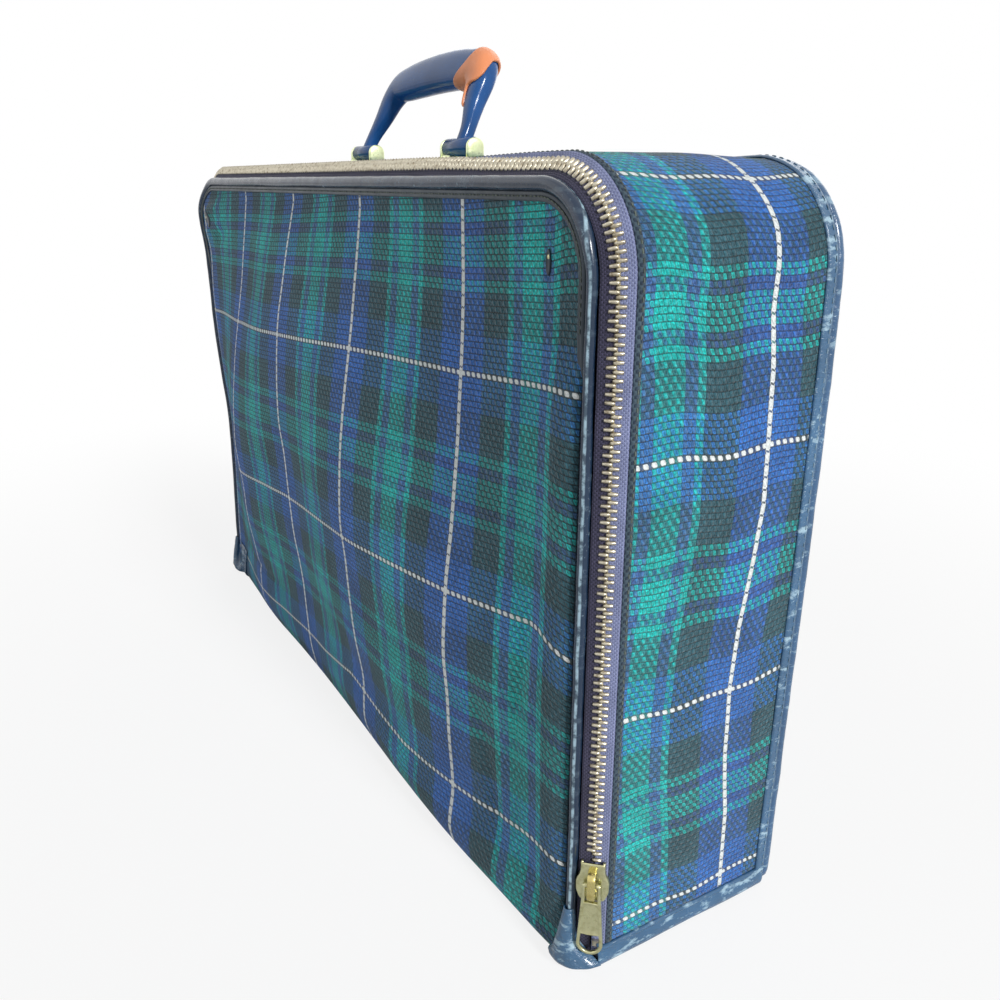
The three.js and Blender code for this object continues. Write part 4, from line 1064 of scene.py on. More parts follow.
def stitch_row(name, table, start, end, pitch, inset, y, across, proud, size):
    """Stitches along a line. across and proud are the section directions (inset, y) of the
    surface they lie on; size is length, width and height."""
    s = even(start, end, pitch)
    line, out = walk(table, s)
    flat = line - inset * out
    place = np.stack([flat[:, 0], np.full(len(s), y), flat[:, 1]], -1)
    out3 = np.stack([out[:, 0], 0 * s, out[:, 1]], -1)
    depth = np.array([0.0, 1.0, 0.0])
    shape, quads = stitch_shape(*size)
    along = np.stack([-out[:, 1], 0 * s, out[:, 0]], -1)
    side = -across[0] * out3 + across[1] * depth
    up = -proud[0] * out3 + proud[1] * depth
    return repeated(name, shape, quads, place, side, up, along)


OUTWARDS = ((0, 1), (-1, 0))
binding_stitches = stitch_row(
    "binding_stitches", RING, HALF + 0.004, RING_LENGTH - HALF - 0.004, 4.2 * MM,
    -0.75 * MM, 51.4 * MM, *OUTWARDS, (2.8 * MM, 0.6 * MM, 0.35 * MM),
)
put_on(binding_stitches, pale_thread, "case", "vinyl")
fold_stitches = stitch_row(
    "fold_stitches", ARCH, 0.016, ARCH_LENGTH - 0.016, 3.4 * MM,
    -0.05 * MM, -44.7 * MM, *OUTWARDS, (2.3 * MM, 0.6 * MM, 0.4 * MM),
)
put_on(fold_stitches, olive_thread, "case", "tartan")

# %% [markdown]
# The zip has two tapes of woven cotton and two rows of metal teeth. Each tooth is a small bar
# pressed on to its tape's edge, with a rounder head that hooks between the heads of the other
# row. The rows are half a pitch apart, so that the teeth mesh.

# %% Zip tapes
def zip_tape(name, side, start, end, u0, u1):
    """A ribbon on the slope from u0 to u1, thicker in a bead at its edge and a little wavy."""
    s = even(start, end, 0.003)
    u = np.linspace(u0, u1, 9) * side
    side_u, length = np.meshgrid(u, s)
    w = soft_noise(length * 60, side_u * 100, 41 + side) * 0.12 * MM
    inset, y = on_slope(side_u, w + 0.5 * MM)
    points = carried(ARCH, s, inset, y)
    return surface(name, points, np.stack([side_u, length], -1), centre=(0, 0.02, 0.15))


TOOTH_PITCH = 3.4 * MM
ROW_START = 0.0172
LID_START = 0.0630
LID_LOW = 0.0262
body_tape = thickness(zip_tape("body_tape", 1, 0.0032, ARCH_LENGTH - 0.0032, 0.0003, 0.0066), 1.0 * MM)
put_on(body_tape, tape_weave, "case", "tape", "zip_tape_body")
lid_tape = thickness(zip_tape("lid_tape", -1, 0.0032, ARCH_LENGTH - 0.0032, 0.0003, 0.0068), 1.0 * MM)
put_on(lid_tape, shaded_tape, "lid", "tape", "zip_tape_lid")

# %% Zip teeth
def tooth_shape(side):
    """Five rings of eight points across the tape: a flat bar whose head is rounder and taller."""
    angle = np.linspace(0, 2 * np.pi, 8, endpoint=False) + np.pi / 8
    square = 1 / np.maximum(np.abs(np.cos(angle)), np.abs(np.sin(angle))) ** 0.7
    u = side * np.array([3.45, 3.15, 1.5, 0.45, -0.75]) * MM
    tall = np.array([1.0, 1.5, 1.65, 1.85, 1.3]) * MM
    wide = np.array([0.6, 0.86, 0.88, 0.95, 0.72]) * MM
    ring = np.stack([
        np.broadcast_to(u[:, None], (5, 8)),
        tall[:, None] * (np.sin(angle) * square)[None],
        wide[:, None] * (np.cos(angle) * square)[None],
    ], -1)
    return loft(ring)


def tooth_row(name, side, starts_and_ends, phase):
    """One row: teeth a pitch apart, each leaning a little its own way."""
    first = np.ceil((starts_and_ends[:, :1] - phase) / TOOTH_PITCH).astype(int)
    last = np.floor((starts_and_ends[:, 1:] - phase) / TOOTH_PITCH).astype(int)
    numbers = np.concatenate([np.arange(a, b + 1) for a, b in np.hstack([first, last])])
    s = numbers * TOOTH_PITCH + phase
    rng = np.random.default_rng(50 + side)
    place, across, proud, along = slope_frames(s, np.zeros(len(s)), np.zeros(len(s)))
    lean = rng.normal(0, 0.03, (len(s), 1))
    bar = across + lean * along
    shape, quads = tooth_shape(side)
    return repeated(name, shape, quads, place, bar, proud, along)


body_teeth = tooth_row("body_teeth", 1, np.array([[ROW_START, ARCH_LENGTH - ROW_START]]), 0.0)
put_on(body_teeth, teeth_metal, "case", "zip_metal", "zip_teeth_body")
lid_runs = np.array([[LID_LOW, 0.0395], [LID_START, ARCH_LENGTH - LID_LOW]])
lid_teeth = tooth_row("lid_teeth", -1, lid_runs, TOOTH_PITCH / 2)
put_on(lid_teeth, teeth_metal, "lid", "zip_metal", "zip_teeth_lid")

# %% [markdown]
# The lid's cloth swells over whatever is packed behind it. Its height is a product of two
# profiles, one along the width and one up the height, measured from the photograph: the swelling
# is highest left of the middle and sags low on the right. The corners are held down by a metal
# stud each, so the cloth puckers there, and near the far one it is crushed into dimples.

# %% Cloth of the lid
FRONT = -0.059
SWELL = 0.025
SWELL_IN = 0.0220
ALONG_ROWS = [[0, 0], [0.1, 0.5], [0.21, 1], [0.4, 0.87], [0.617, 0.866],
              [0.835, 0.582], [0.94, 0.233], [1, 0]]
UP_ROWS = [[0, 0], [0.1, 0.446], [0.22, 0.585], [0.36, 0.817], [0.48, 0.895], [0.6, 1],
           [0.75, 0.816], [0.88, 0.414], [1, 0]]
SINK_ROWS = [[0, 0.119], [0.21, 0.119], [0.4, 0], [0.617, 0.125], [0.835, 0.261], [1, 0.261]]


def bulge(x, z):
    """How far the lid's cloth stands forward: swell x profile along x profile up, no less than 0."""
    reach = half_width(SWELL_IN, np.clip(z, 0, HIGH - SWELL_IN - 1e-6))
    along = np.clip((x + reach) / (2 * reach), 0, 1)
    up = np.clip(z / (HIGH - SWELL_IN), 0, 1)
    raised = np.clip(up + 4 * smooth_rows(SINK_ROWS, along) * up * (1 - up), 0, 1)
    inside = (np.abs(x) < reach) & (z < HIGH - SWELL_IN)
    return np.where(inside, SWELL * smooth_rows(ALONG_ROWS, along) * smooth_rows(UP_ROWS, raised), 0)


def dent(x, z, x0, z0, wide, tall, turn=0.0):
    """A bell of height 1: exp(-(distance / size) squared), about its own middle and tilted."""
    c, s = math.cos(turn), math.sin(turn)
    a = ((x - x0) * c + (z - z0) * s) / wide
    b = (-(x - x0) * s + (z - z0) * c) / tall
    return np.exp(-(a * a + b * b))


FOOT = [[-280, 2.6], [-175, 4.2], [-86, 5.2], [-16, 5.8], [43, 6.2], [94, 7.2], [139, 8.0], [178, 8.2],
        [214, 7.4], [246, 6.6], [262, 5.6], [270, 4.6]]
PILLOW = [[15, 1.5], [17, 3.0], [20, 4.1], [24, 4.6], [30, 3.8], [40, 1.6], [54, 0]]


# Each bell: how far it stands out in mm, its middle (x, z), its width and height, and its tilt.
# Those of SLACK fade where the cloth is held flat.
TUCKS = [
    (-1.5, 0.2435, 0.3150, 0.0016, 0.0070),
    (0.9, 0.2385, 0.3160, 0.0032, 0.0100),
    (-1.6, -0.2435, 0.3130, 0.0022, 0.0085),
    (3.0, -0.2380, 0.3180, 0.0240, 0.0160, 0.15),
    (-4.2, -0.2560, 0.3210, 0.0075, 0.0065),
    (-4.6, -0.2190, 0.3080, 0.0150, 0.0045, 0.25),
    (2.2, -0.2350, 0.3270, 0.0180, 0.0050, 0.2),
]
SLACK = [(-2.6, 0.2360, 0.1500, 0.0055, 0.0420, -0.12), (-1.6, 0.2050, 0.0800, 0.0060, 0.0500, 0.25)]


def lid_shape(x, z):
    """Forward height of the cloth. To the measured swelling are added a pillow edge over the
    facing at both ends, a full foot, soft waves, the tucks and slack, and one long crease."""
    height = bulge(x, z)
    loose = np.clip(height / 0.006, 0, 1)
    ends = smooth_rows(PILLOW, (HALF - np.abs(x)) / MM) * (1 - rise(z, 0.255, 0.300))
    ends = ends * np.where(x > 0, 1, 0.5)
    foot = smooth_rows(FOOT, x / MM) * np.exp(-((z / 0.030) ** 2))
    height = height + MM * np.maximum(foot, ends * np.clip(z / 0.02, 0, 1))
    height = height + soft_noise(x * 30, z * 34, 61) * 1.0 * MM * loose
    height = height + soft_noise(x * 90, z * 80, 62) * 0.25 * MM * loose
    height = height + MM * sum(tall * dent(x, z, *bell) for tall, *bell in TUCKS)
    height = height + MM * sum(tall * dent(x, z, *bell) for tall, *bell in SLACK) * loose
    crease = dent(0 * x, z, 0, 0.046 + 0.035 * (x + 0.263), 1, 0.0035)
    height = height - 1.3 * MM * crease * np.clip((-0.05 - x) / 0.1, 0, 1) * loose
    return np.maximum(height, 0.0002)


LID_WARP_X = [-0.1547, -0.0497, 0.0587, 0.1744]
H1 = ([-0.263, -0.083, 0.060, 0.174, 0.254], [0.245, 0.2517, 0.260, 0.265, 0.2717])
H2 = ([-0.263, -0.141, 0.104, 0.174, 0.246, 0.268], [0.127, 0.133, 0.1517, 0.1567, 0.165, 0.1585])
H3 = ([-0.263, -0.140, -0.016, 0.037, 0.117, 0.210, 0.254],
      [0.026, 0.030, 0.035, 0.043, 0.035, 0.0467, 0.054])


def lid_cloth_map(x, z):
    """Across: white upright yarns at four measured places. Along: white crosswise yarns on
    three measured lines, with the height shared out evenly between them."""
    across = eased(x, LID_WARP_X, REPEAT * np.arange(4)) + WHITE_WARP
    low, mid, high = (np.interp(x, *line) for line in (H3, H2, H1))
    below = (z - low) / REPEAT
    between = (z - low) / (mid - low)
    above = 1 + (z - mid) / (high - mid)
    along = np.where(z < low, below, np.where(z < mid, between, above))
    return np.stack([across, along * REPEAT + WHITE_WEFT], -1)


def lid_cloth_grid():
    """The panel's grid pushed forward by the cloth's height. Its foot is rolled under in a
    quarter of an ellipse, back to the strip that it folds on."""
    x, z = panel_grid(0.0150, 0.0072, 248, 164)
    y = FRONT + 0.25 * MM - lid_shape(x, z)
    roll = np.linspace(1, 0, 9)[:-1, None] * QUARTER
    hem = FRONT + 0.0003
    foot_y = hem + (y[:1] - hem) * np.cos(roll)
    foot_z = 0.0072 - 0.0064 * np.sin(roll)
    x = np.concatenate([np.repeat(x[:1], 8, axis=0), x])
    z = np.concatenate([np.broadcast_to(foot_z, foot_y.shape), z])
    y = np.concatenate([foot_y, y])
    return np.stack([x, y, z], -1), lid_cloth_map(x, z)


lid_points, lid_pattern = lid_cloth_grid()
lid_cloth = surface("lid_cloth", lid_points, lid_pattern, centre=(0, 0.5, 0.18))
put_on(thickness(lid_cloth, 0.9 * MM), lid_tartan, "lid", "tartan", "lid_panel")
print("lid cloth stands forward by mm", round(float(-(lid_points[..., 1].min() - FRONT) * 1000), 1))

# %% [markdown]
# A strip of dull vinyl is sewn over the edge of the lid's cloth with a row of stitches, and
# outside it runs the round glossy piping, which carries one long pale line of light. The strip
# shows along the top and round the corners. Down the ends the swelling cloth rolls over it.

# %% Facing and piping of the lid
def shown_facing(s):
    """1 where the facing shows, round the top, and 0 down the two ends."""
    return rise(walk(ARCH, s)[0][:, 1], 0.262, 0.298)


def facing_strip():
    """A strip 4 mm wide from the piping inwards, arched, following the cloth's edge. Its
    height shrinks to a fifth down the ends, where it lies under the rolled cloth."""
    s = even(0.0068, ARCH_LENGTH - 0.0068, 0.003)
    inset = np.array([14.4, 14.7, 15.4, 16.2, 17.0, 17.7, 18.2, 18.5, 18.5]) * MM
    proud = np.array([0.2, 0.9, 1.3, 1.2, 1.15, 1.25, 1.25, 0.9, 0.0]) * MM
    side, length = np.meshgrid(inset, s)
    wave = soft_noise(length * 70, side * 150, 71) * 0.16 * MM
    full = shown_facing(s)[:, None]
    y = FRONT + 0.4 * MM - (proud[None] + wave + 0.4 * MM) * (0.2 + 0.8 * full)
    points = carried(ARCH, s, inset, y)
    return surface("facing_strip", points, np.stack([side, length], -1), centre=(0, 0.3, 0.15))


facing = thickness(facing_strip(), 0.6 * MM)
put_on(facing, facing_skin, "lid", "facing", "lid_facing")
FORWARDS = ((1, 0), (0, -1))
facing_stitches = stitch_row(
    "facing_stitches", ARCH, 0.296, ARCH_LENGTH - 0.296, 3.2 * MM, 16.6 * MM, FRONT - 1.30 * MM,
    *FORWARDS, (2.2 * MM, 0.6 * MM, 0.4 * MM),
)
put_on(facing_stitches, olive_thread, "lid", "facing")
PIPING_ROWS = even(0.0262, ARCH_LENGTH - 0.0262, 0.0028)
piping_height = walk(ARCH, PIPING_ROWS)[0][:, 1]
lid_piping = tube_round(
    "lid_piping_round", ARCH, PIPING_ROWS[-1], 11.8 * MM, -59.0 * MM,
    (2.45 - 0.3 * rise(piping_height, 0.245, 0.265) + 0.75 * rise(piping_height, 0.315, 0.345)) * MM,
    len(PIPING_ROWS), 16, False, 81, PIPING_ROWS[0],
)
put_on(lid_piping, front_piping, "lid", "vinyl", "lid_piping")

# %% [markdown]
# At the foot of each end the piping stops, and a cap of the same glossy vinyl is wrapped round
# the corner and under it, like the toe of a boot. Under the lid's whole lower edge the vinyl
# carries on as the strip that the lid folds on. That strip belongs half to the case and half to the
# lid, and here it rides on neither body. The far cap also lies over the corner of the
# lid's cloth, as the photograph shows.

# %% Corner boots and the folding strip
BOOT_LEVELS = [33, 28, 23, 15.5, 9.5, 5.2, 2.4, 0.6, 0.35]
BOOT_X = [
    [269.4, 269.0, 269.9, 271.6, 273.2, 273.9, 273.4, 272.2],
    [268.9, 268.7, 269.8, 271.9, 273.7, 274.4, 273.9, 272.6],
    [268.3, 268.4, 269.8, 272.2, 274.3, 275.1, 274.6, 273.1],
    [267.3, 267.7, 269.6, 272.5, 275.0, 276.3, 276.1, 274.4],
    [265.0, 266.5, 269.6, 273.2, 276.8, 279.2, 280.3, 280.0],
    [263.0, 266.2, 270.6, 275.4, 279.8, 282.2, 283.7, 284.3],
    [262.4, 266.2, 270.2, 273.9, 277.4, 279.9, 281.6, 282.6],
    [262.2, 265.8, 268.8, 271.6, 274.2, 276.2, 277.8, 278.8],
    [262.2, 265.6, 268.4, 270.8, 272.8, 274.4, 275.6, 276.4],
]
BOOT_Y = [
    [59.4, 60.9, 62.2, 62.7, 61.8, 60.0, 58.0, 56.9],
    [59.6, 61.8, 63.3, 63.6, 62.4, 60.4, 58.2, 57.0],
    [60.2, 62.9, 64.6, 64.7, 63.3, 60.9, 58.5, 57.0],
    [61.2, 64.6, 66.2, 66.1, 64.2, 61.5, 58.6, 56.6],
    [63.2, 66.0, 67.1, 66.5, 64.2, 60.9, 57.1, 53.4],
    [65.4, 67.3, 67.4, 66.0, 62.9, 59.0, 54.5, 50.6],
    [65.0, 66.0, 65.6, 64.1, 61.3, 57.7, 53.8, 50.6],
    [62.0, 62.6, 61.8, 60.2, 57.9, 55.5, 52.9, 50.6],
    [58.4, 58.4, 58.0, 57.2, 56.0, 54.6, 52.8, 51.2],
]


def boot(side):
    """A smooth skin through a net of points on nine levels: round like the piping's end at the
    top, widening into a toe that wraps the corner, and turned in under it. Small folds run
    round it: noise whose waves are short up the boot and long round it. The far one has four
    more columns, which follow the lid's cloth 0.9 mm in front of it and its rolled foot."""
    x, y = np.array(BOOT_X), -np.array(BOOT_Y)
    z = np.array(BOOT_LEVELS)[:, None] + 0 * x
    if side < 0:
        level = z[:, :1]
        inner = 262 - np.array([[34, 26, 18, 9]]) * (0.4 + 0.6 * level / 33)
        cloth = lid_shape(-inner * MM, np.maximum(level, 7.2) * MM) / MM
        under = np.sqrt(np.clip(1 - ((7.2 - level) / 7.0) ** 2, 0.02, 1)) * (level < 7.2) + (level >= 7.2)
        x, z = np.hstack([inner, x]), np.hstack([level + 0 * inner, z])
        y = np.hstack([-59 - (cloth + 0.9) * under, y])
    skin = net_through(np.stack([x, y, z], -1) * MM, 7, 6)
    rows, cols = skin.shape[:2]
    a, b = np.meshgrid(np.linspace(0, 6, cols), np.linspace(0, 9, rows))
    out = skin - np.array([0.2655, -0.0575, 0.02])
    out = out * (1, 1, 0) / np.linalg.norm(out[..., :2], axis=-1)[..., None]
    low = np.clip((0.020 - skin[..., 2]) / 0.012, 0, 1)
    wave = soft_noise(a * 0.9, b * 2.2, 91 + side) * (0.25 + 0.35 * low)
    wave = wave + soft_noise(a * 3.5, b * 2.5, 93) * 0.16 * low
    skin = skin + out * (wave * MM)[..., None]
    skin[..., 2] = np.maximum(skin[..., 2], 0.0003)
    skin = skin * (side, 1, 1)
    pattern = np.stack([a * 0.004, b * 0.004], -1)
    name = f"corner_boot_{'right' if side > 0 else 'left'}"
    return surface(name, skin, pattern, centre=(side * 0.262, -0.052, 0.014))


for side, node_name in ((1, "lid_corner_right"), (-1, "lid_corner_left")):
    put_on(thickness(boot(side), 0.7 * MM), vinyl, "lid", "vinyl", node_name)


def folding_strip():
    """A strip under the lid's foot from the cloth's roll to the case, sagging in the middle."""
    x = np.linspace(-0.2675, 0.2675, 160)
    y = np.linspace(-58.4, -51.7, 9) * MM
    across, length = np.meshgrid(y, x)
    ripple = soft_noise(length * 60, across * 90, 95) * 0.12 * MM
    z = 1.3 * MM - 0.5 * MM * np.cos((across + 0.055) / 0.0034 * QUARTER) + ripple
    points = np.stack([length, across, z], -1)
    return surface("folding_strip", points, np.stack([across, length], -1), centre=(0, -0.055, 0.05))


fold = thickness(folding_strip(), 0.8 * MM)
fold.data.materials.append(vinyl_flat)
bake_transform(fold)
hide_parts("lid_hinge_strip")

# %% [markdown]
# Inside, thin cotton lines the frame, the back and the lid. None of it is in the photograph, so
# it is plain. Each lining is a sheet a fraction of a millimetre inside its board.

# %% Linings
def frame_lining():
    """The whole ring of the outline less the thickness of cloth, board and lining, with a soft
    ripple."""
    s = np.linspace(0, RING_LENGTH, 320, endpoint=False)
    low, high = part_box("gusset_lining")
    y = even(low[1], high[1], 0.004)
    side, length = np.meshgrid(y, s)
    turn = length / RING_LENGTH * 2 * np.pi
    ripple = soft_noise(np.cos(turn) * 8, side * 50 + np.sin(turn) * 8, 101) * 0.12 * MM
    points = carried(RING, s, 4.95 * MM + ripple, y)
    pattern = np.stack(np.meshgrid(y, np.append(s, RING_LENGTH)), -1)
    return surface("frame_lining", points, pattern, wrap_rows=True, centre=MIDDLE)


def flat_lining(name, node, facing_out, inset, low, ripple):
    """A panel in the shape of the outline at the node's own depth."""
    near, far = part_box(node)
    x, z = panel_grid(inset, low, 90, 60)
    y = (near[1] + far[1]) / 2 + soft_noise(x * 25, z * 25, 103) * ripple
    pattern = np.stack([x, z], -1)
    return surface(name, np.stack([x, y, z], -1), pattern, centre=(0, -facing_out, 0.18))


frame_cloth = thickness(frame_lining(), 0.5 * MM)
put_on(frame_cloth, lining_weave, "case", "lining", "gusset_lining")
back_inside = flat_lining("back_lining_cloth", "back_lining", -1, 6.0 * MM, 0.0052, 0.1 * MM)
thickness(back_inside, 0.4 * MM)
put_on(back_inside, lining_weave, "case", "lining", "back_lining")


def lid_lining_grid():
    """The lid's inner sheet: it follows the cloth, 2 mm further in."""
    x, z = panel_grid(0.0160, 0.0024, 130, 90)
    y = FRONT + 1.65 * MM - np.clip(lid_shape(x, z) - 0.0008, 0, 1)
    return np.stack([x, y, z], -1), np.stack([x, z], -1)


lining_points, lining_pattern = lid_lining_grid()
lid_inside = surface("lid_lining_cloth", lining_points, lining_pattern, centre=(0, -0.5, 0.18))
put_on(thickness(lid_inside, 0.5 * MM), lining_weave, "lid", "lining", "lid_lining")

# %% [markdown]
# The handle is one moulded piece: two thin legs that swell into a deep grip, and a barrel on
# each foot that turns on a pin between the ears of a bracket. Its middle line is a smooth curve
# through a few measured points, and its section is a rounded oblong that grows from leg to grip.
# The handle leans back a little, about the line of its two pins.

# %% Handle
PIVOT_HIGH = 0.3666
LEAN = math.radians(26.5)
TOP_RISE = 0.0492
TILT = 0.56
LINE_ROWS = [[1.19, 0], [1.174, 0.2], [1.09, 0.5], [1.03, 0.79], [0.92, 0.925],
             [0.66, 0.968], [0.33, 0.992], [0, 1]]
SWELL_ROWS = [[0, 0], [0.12, 0.04], [0.26, 0.3], [0.4, 0.56], [0.55, 0.82], [0.75, 0.96], [1, 1]]


def handle_sections():
    """The middle line (x, height) by share of its length, as a dense table."""
    half = np.array(LINE_ROWS) * (0.0555, TOP_RISE)
    line = curve_through(np.vstack([half, (half * (-1, 1))[-2::-1]]), 60)
    length = np.concatenate([[0], np.cumsum(np.linalg.norm(np.diff(line, axis=0), axis=1))])
    return line, length / length[-1]


HANDLE_LINE, HANDLE_SHARE = handle_sections()


def leaned(x, y, h):
    """From the handle's own plane to the case's frame: turned back about the pins' line. With
    age the grip stands a little higher over its right shoulder: height x (1 + tilt x x)."""
    c, s = math.cos(LEAN), math.sin(LEAN)
    h = h * (1 + TILT * x)
    return np.stack([x, y * c + h * s, PIVOT_HIGH - y * s + h * c], -1)


def squarish(angle, squareness):
    """Cosine and sine, each raised to 2 / squareness: a circle that fills out at its corners."""
    return [np.sign(v) * np.abs(v) ** (2 / squareness) for v in (np.cos(angle), np.sin(angle))]


def handle_surface(t, angle, grow=0.0):
    """A point of the handle's skin: middle line + depth and thickness times a rounded oblong.
    t runs from the right foot, angle round it."""
    place, ahead, behind = (
        np.stack([np.interp(share, HANDLE_SHARE, HANDLE_LINE[:, i]) for i in range(2)], -1)
        for share in (t, t + 0.004, t - 0.004)
    )
    along = ahead - behind
    along /= np.linalg.norm(along, axis=-1, keepdims=True)
    swell = smooth_rows(SWELL_ROWS, 1 - np.abs(2 * t - 1))
    deep = (0.0076 + 0.0152 * swell) / 2 + grow
    thick = (0.0077 + 0.0089 * swell) / 2 + grow
    oblong = squarish(angle, 2.5)
    x = place[..., 0] + along[..., 1] * deep * oblong[0]
    h = place[..., 1] - along[..., 0] * deep * oblong[0]
    return leaned(x, thick * oblong[1], h)


def moulded_handle():
    """The skin on a grid of shares and angles, from foot to foot."""
    right, left = np.linspace(0.004, 0.3, 70), np.linspace(0.7, 0.996, 70)
    t = np.concatenate([right, np.linspace(0.3, 0.7, 60)[1:-1], left])
    angle = np.linspace(0, 2 * np.pi, 40, endpoint=False)
    around, length = np.meshgrid(angle, t)
    points = handle_surface(length, around)
    pattern = np.stack(np.meshgrid(np.append(angle, 2 * np.pi) * 0.008, t * 0.2), -1)
    return surface("moulded_handle", points, pattern, wrap_cols=True, capped=True)


def barrel(name, x):
    """A foot's barrel: a profile (along the pin, radius) turned once round, bored for the pin."""
    half = 0.014
    out = np.array([-half, -half, -half + 0.0006, half - 0.0006, half, half]) + x
    radius = np.array([0.0023, 0.0043, 0.0049, 0.0049, 0.0043, 0.0023])
    angle = np.linspace(0, 2 * np.pi, 36, endpoint=False)
    turn, along = np.meshgrid(angle, out)
    r = np.broadcast_to(radius[:, None], turn.shape)
    return surface(name, leaned(along, r * np.cos(turn), r * np.sin(turn)), wrap_rows=True, wrap_cols=True)


handle = moulded_handle()
put_on(handle, moulded, "handle", "moulded", "handle_grip")
for name, x in (("barrel_right", 0.066), ("barrel_left", -0.066)):
    put_on(barrel(name, x), moulded, "handle", "moulded")

# %% [markdown]
# A tag of orange-tan leather is wrapped round the right shoulder of the handle. It is cut on the
# slant, and its end runs down the inner side of the leg as a narrow tongue. The wrap is the
# handle's own skin, grown by the leather's thickness, between two slanting edges whose places
# were read from the photograph.

# %% Leather tag
TAG_UPPER = [[0, 0.256], [1.0, 0.268], [1.8, 0.3], [2.5, 0.33], [3.14, 0.34], [3.6, 0.333], [4.12, 0.312],
             [4.78, 0.266], [5.56, 0.258], [6.2832, 0.256]]
TAG_LOWER = [[0, 0.222], [0.39, 0.228], [1.5, 0.226], [2.5, 0.21], [3.3, 0.192], [3.75, 0.168], [3.98, 0.140],
             [4.14, 0.112], [4.28, 0.136], [4.5, 0.164], [5.2, 0.174], [5.76, 0.19], [6.2832, 0.222]]


def tag_wrap():
    """Rows run from the edge on the leg to the edge on the grip. Each edge is a share of the
    handle's length, looked up by the angle round it."""
    angle = np.linspace(0, 2 * np.pi, 96, endpoint=False)
    upper, lower = smooth_rows(TAG_UPPER, angle), smooth_rows(TAG_LOWER, angle)
    across = np.linspace(0, 1, 44)[:, None]
    t = lower[None] + (upper - lower)[None] * across
    edge = np.clip(np.minimum(across, 1 - across) / 0.05, 0, 1)
    grow = 0.0003 + 0.0011 * np.sqrt(edge)
    points = handle_surface(t, np.broadcast_to(angle, t.shape), grow)
    return surface("leather_tag", points, wrap_cols=True)


tag = thickness(tag_wrap(), 0.9 * MM)
put_on(tag, leather, "handle", "leather", "handle_tag")

# %% [markdown]
# Each foot of the handle stands in a brass bracket: a plate with rounded corners, and two domed
# ears. A pin goes through both ears and the barrel. All three are stamped shapes: one flat
# outline repeated at several depths, drawn in a little at its faces so that the rim is round.

# %% Brackets and pins
def stamped(name, outline, levels, place):
    """levels are rows of (depth, how far the outline is drawn in), both in millimetres."""
    outline = np.asarray(outline, float)
    middle = (outline.max(axis=0) + outline.min(axis=0)) / 2
    size = (outline.max(axis=0) - outline.min(axis=0)) / 2
    depth, drawn = np.array(levels, float).T
    scale = 1 - drawn[:, None, None] / size
    flat = middle + (outline - middle)[None] * scale
    depth = np.broadcast_to(depth[:, None], flat.shape[:2])
    points = np.stack(place(flat[..., 0] * MM, flat[..., 1] * MM, depth * MM), -1)
    return surface(name, points, wrap_cols=True, capped=True)


def round_oblong(wide, deep, corner):
    """An oblong with round corners: the corner's circle carried to four places."""
    angle = np.linspace(0, 2 * np.pi, 48, endpoint=False) + np.pi / 48
    c, s = np.cos(angle), np.sin(angle)
    x = c * corner + np.sign(c) * (wide / 2 - corner)
    return np.stack([x, s * corner + np.sign(s) * (deep / 2 - corner)], -1)


EAR_WIDE, EAR_HIGH = 5.3, 4.7
arc = np.linspace(0, np.pi, 22)
arch = np.stack([EAR_WIDE * np.cos(arc), EAR_HIGH * np.sin(arc)], -1)
ear_outline = np.vstack([[[EAR_WIDE, -6.2], [EAR_WIDE, -3]], arch, [[-EAR_WIDE, -3], [-EAR_WIDE, -6.2]]])
pin_outline = np.stack([1.95 * np.cos(arc * 2)[:-1], 1.95 * np.sin(arc * 2)[:-1]], -1)
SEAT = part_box("handle_backing_plate")[1][2]
base_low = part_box("handle_bracket_right")[0][2]
print("bracket foot at", round(base_low, 4), "plate below it at", round(SEAT, 4))
for side, name in ((1, "right"), (-1, "left")):
    middle = 0.066 * side
    ears = [
        stamped(
            f"bracket_ear_{name}_{number}", ear_outline,
            [(0, 0.5), (0.25, 0.1), (0.6, 0), (1.3, 0.05), (1.7, 0.5), (2.0, 1.5), (2.15, 3.0)],
            lambda y, h, d: (middle + way * (14.4 * MM + d), y, PIVOT_HIGH + h),
        )
        for number, way in ((1, 1), (2, -1))
    ]
    foot = stamped(
        f"bracket_foot_{name}", round_oblong(32.6, 25.6, 4.0), [(0, 0.3), (0.3, 0), (1.2, 0), (1.5, 0.4)],
        lambda x, y, d: (middle + x, y, base_low + d),
    )
    pin = stamped(
        f"bracket_pin_{name}", pin_outline, [(-16.4, 0.5), (-16.0, 0), (16.0, 0), (16.4, 0.5)],
        lambda y, h, d: (middle + d, y, PIVOT_HIGH + h),
    )
    put_on(foot, bracket_metal, "case", "bracket_metal", f"handle_bracket_{name}")
    for ear in ears:
        put_on(ear, bracket_metal, "case", "bracket_metal")
    put_on(pin, bracket_metal, "case", "bracket_metal", f"handle_pin_{name}")


# %% [markdown]
# The slider is cast metal: two plates with turned-down sides hug the teeth, wide at the shoulders
# where the rows part. A golden bridge is riveted to the outer plate, and the pull hangs on a pin
# through it. All of it is worked out in the slider's own frame: u across the zip, w out of it
# and h down from the slider's top.

# %% Slider
SLIDER_TOP = 0.061
S_ACROSS = np.array([-U_STEP[0], U_STEP[1], 0.0])
S_PROUD = np.array([-W_STEP[0], W_STEP[1], 0.0])
S_TOP = np.array([HALF - ZIP_INSET, ZIP_Y, SLIDER_TOP])


def on_slider(u, w, h):
    """The slider's top middle + u across + w outwards - h down, in millimetres."""
    u, w, h = (np.asarray(v, float)[..., None] * MM for v in np.broadcast_arrays(u, w, h))
    return S_TOP + u * S_ACROSS + w * S_PROUD - h * np.array([0.0, 0.0, 1.0])


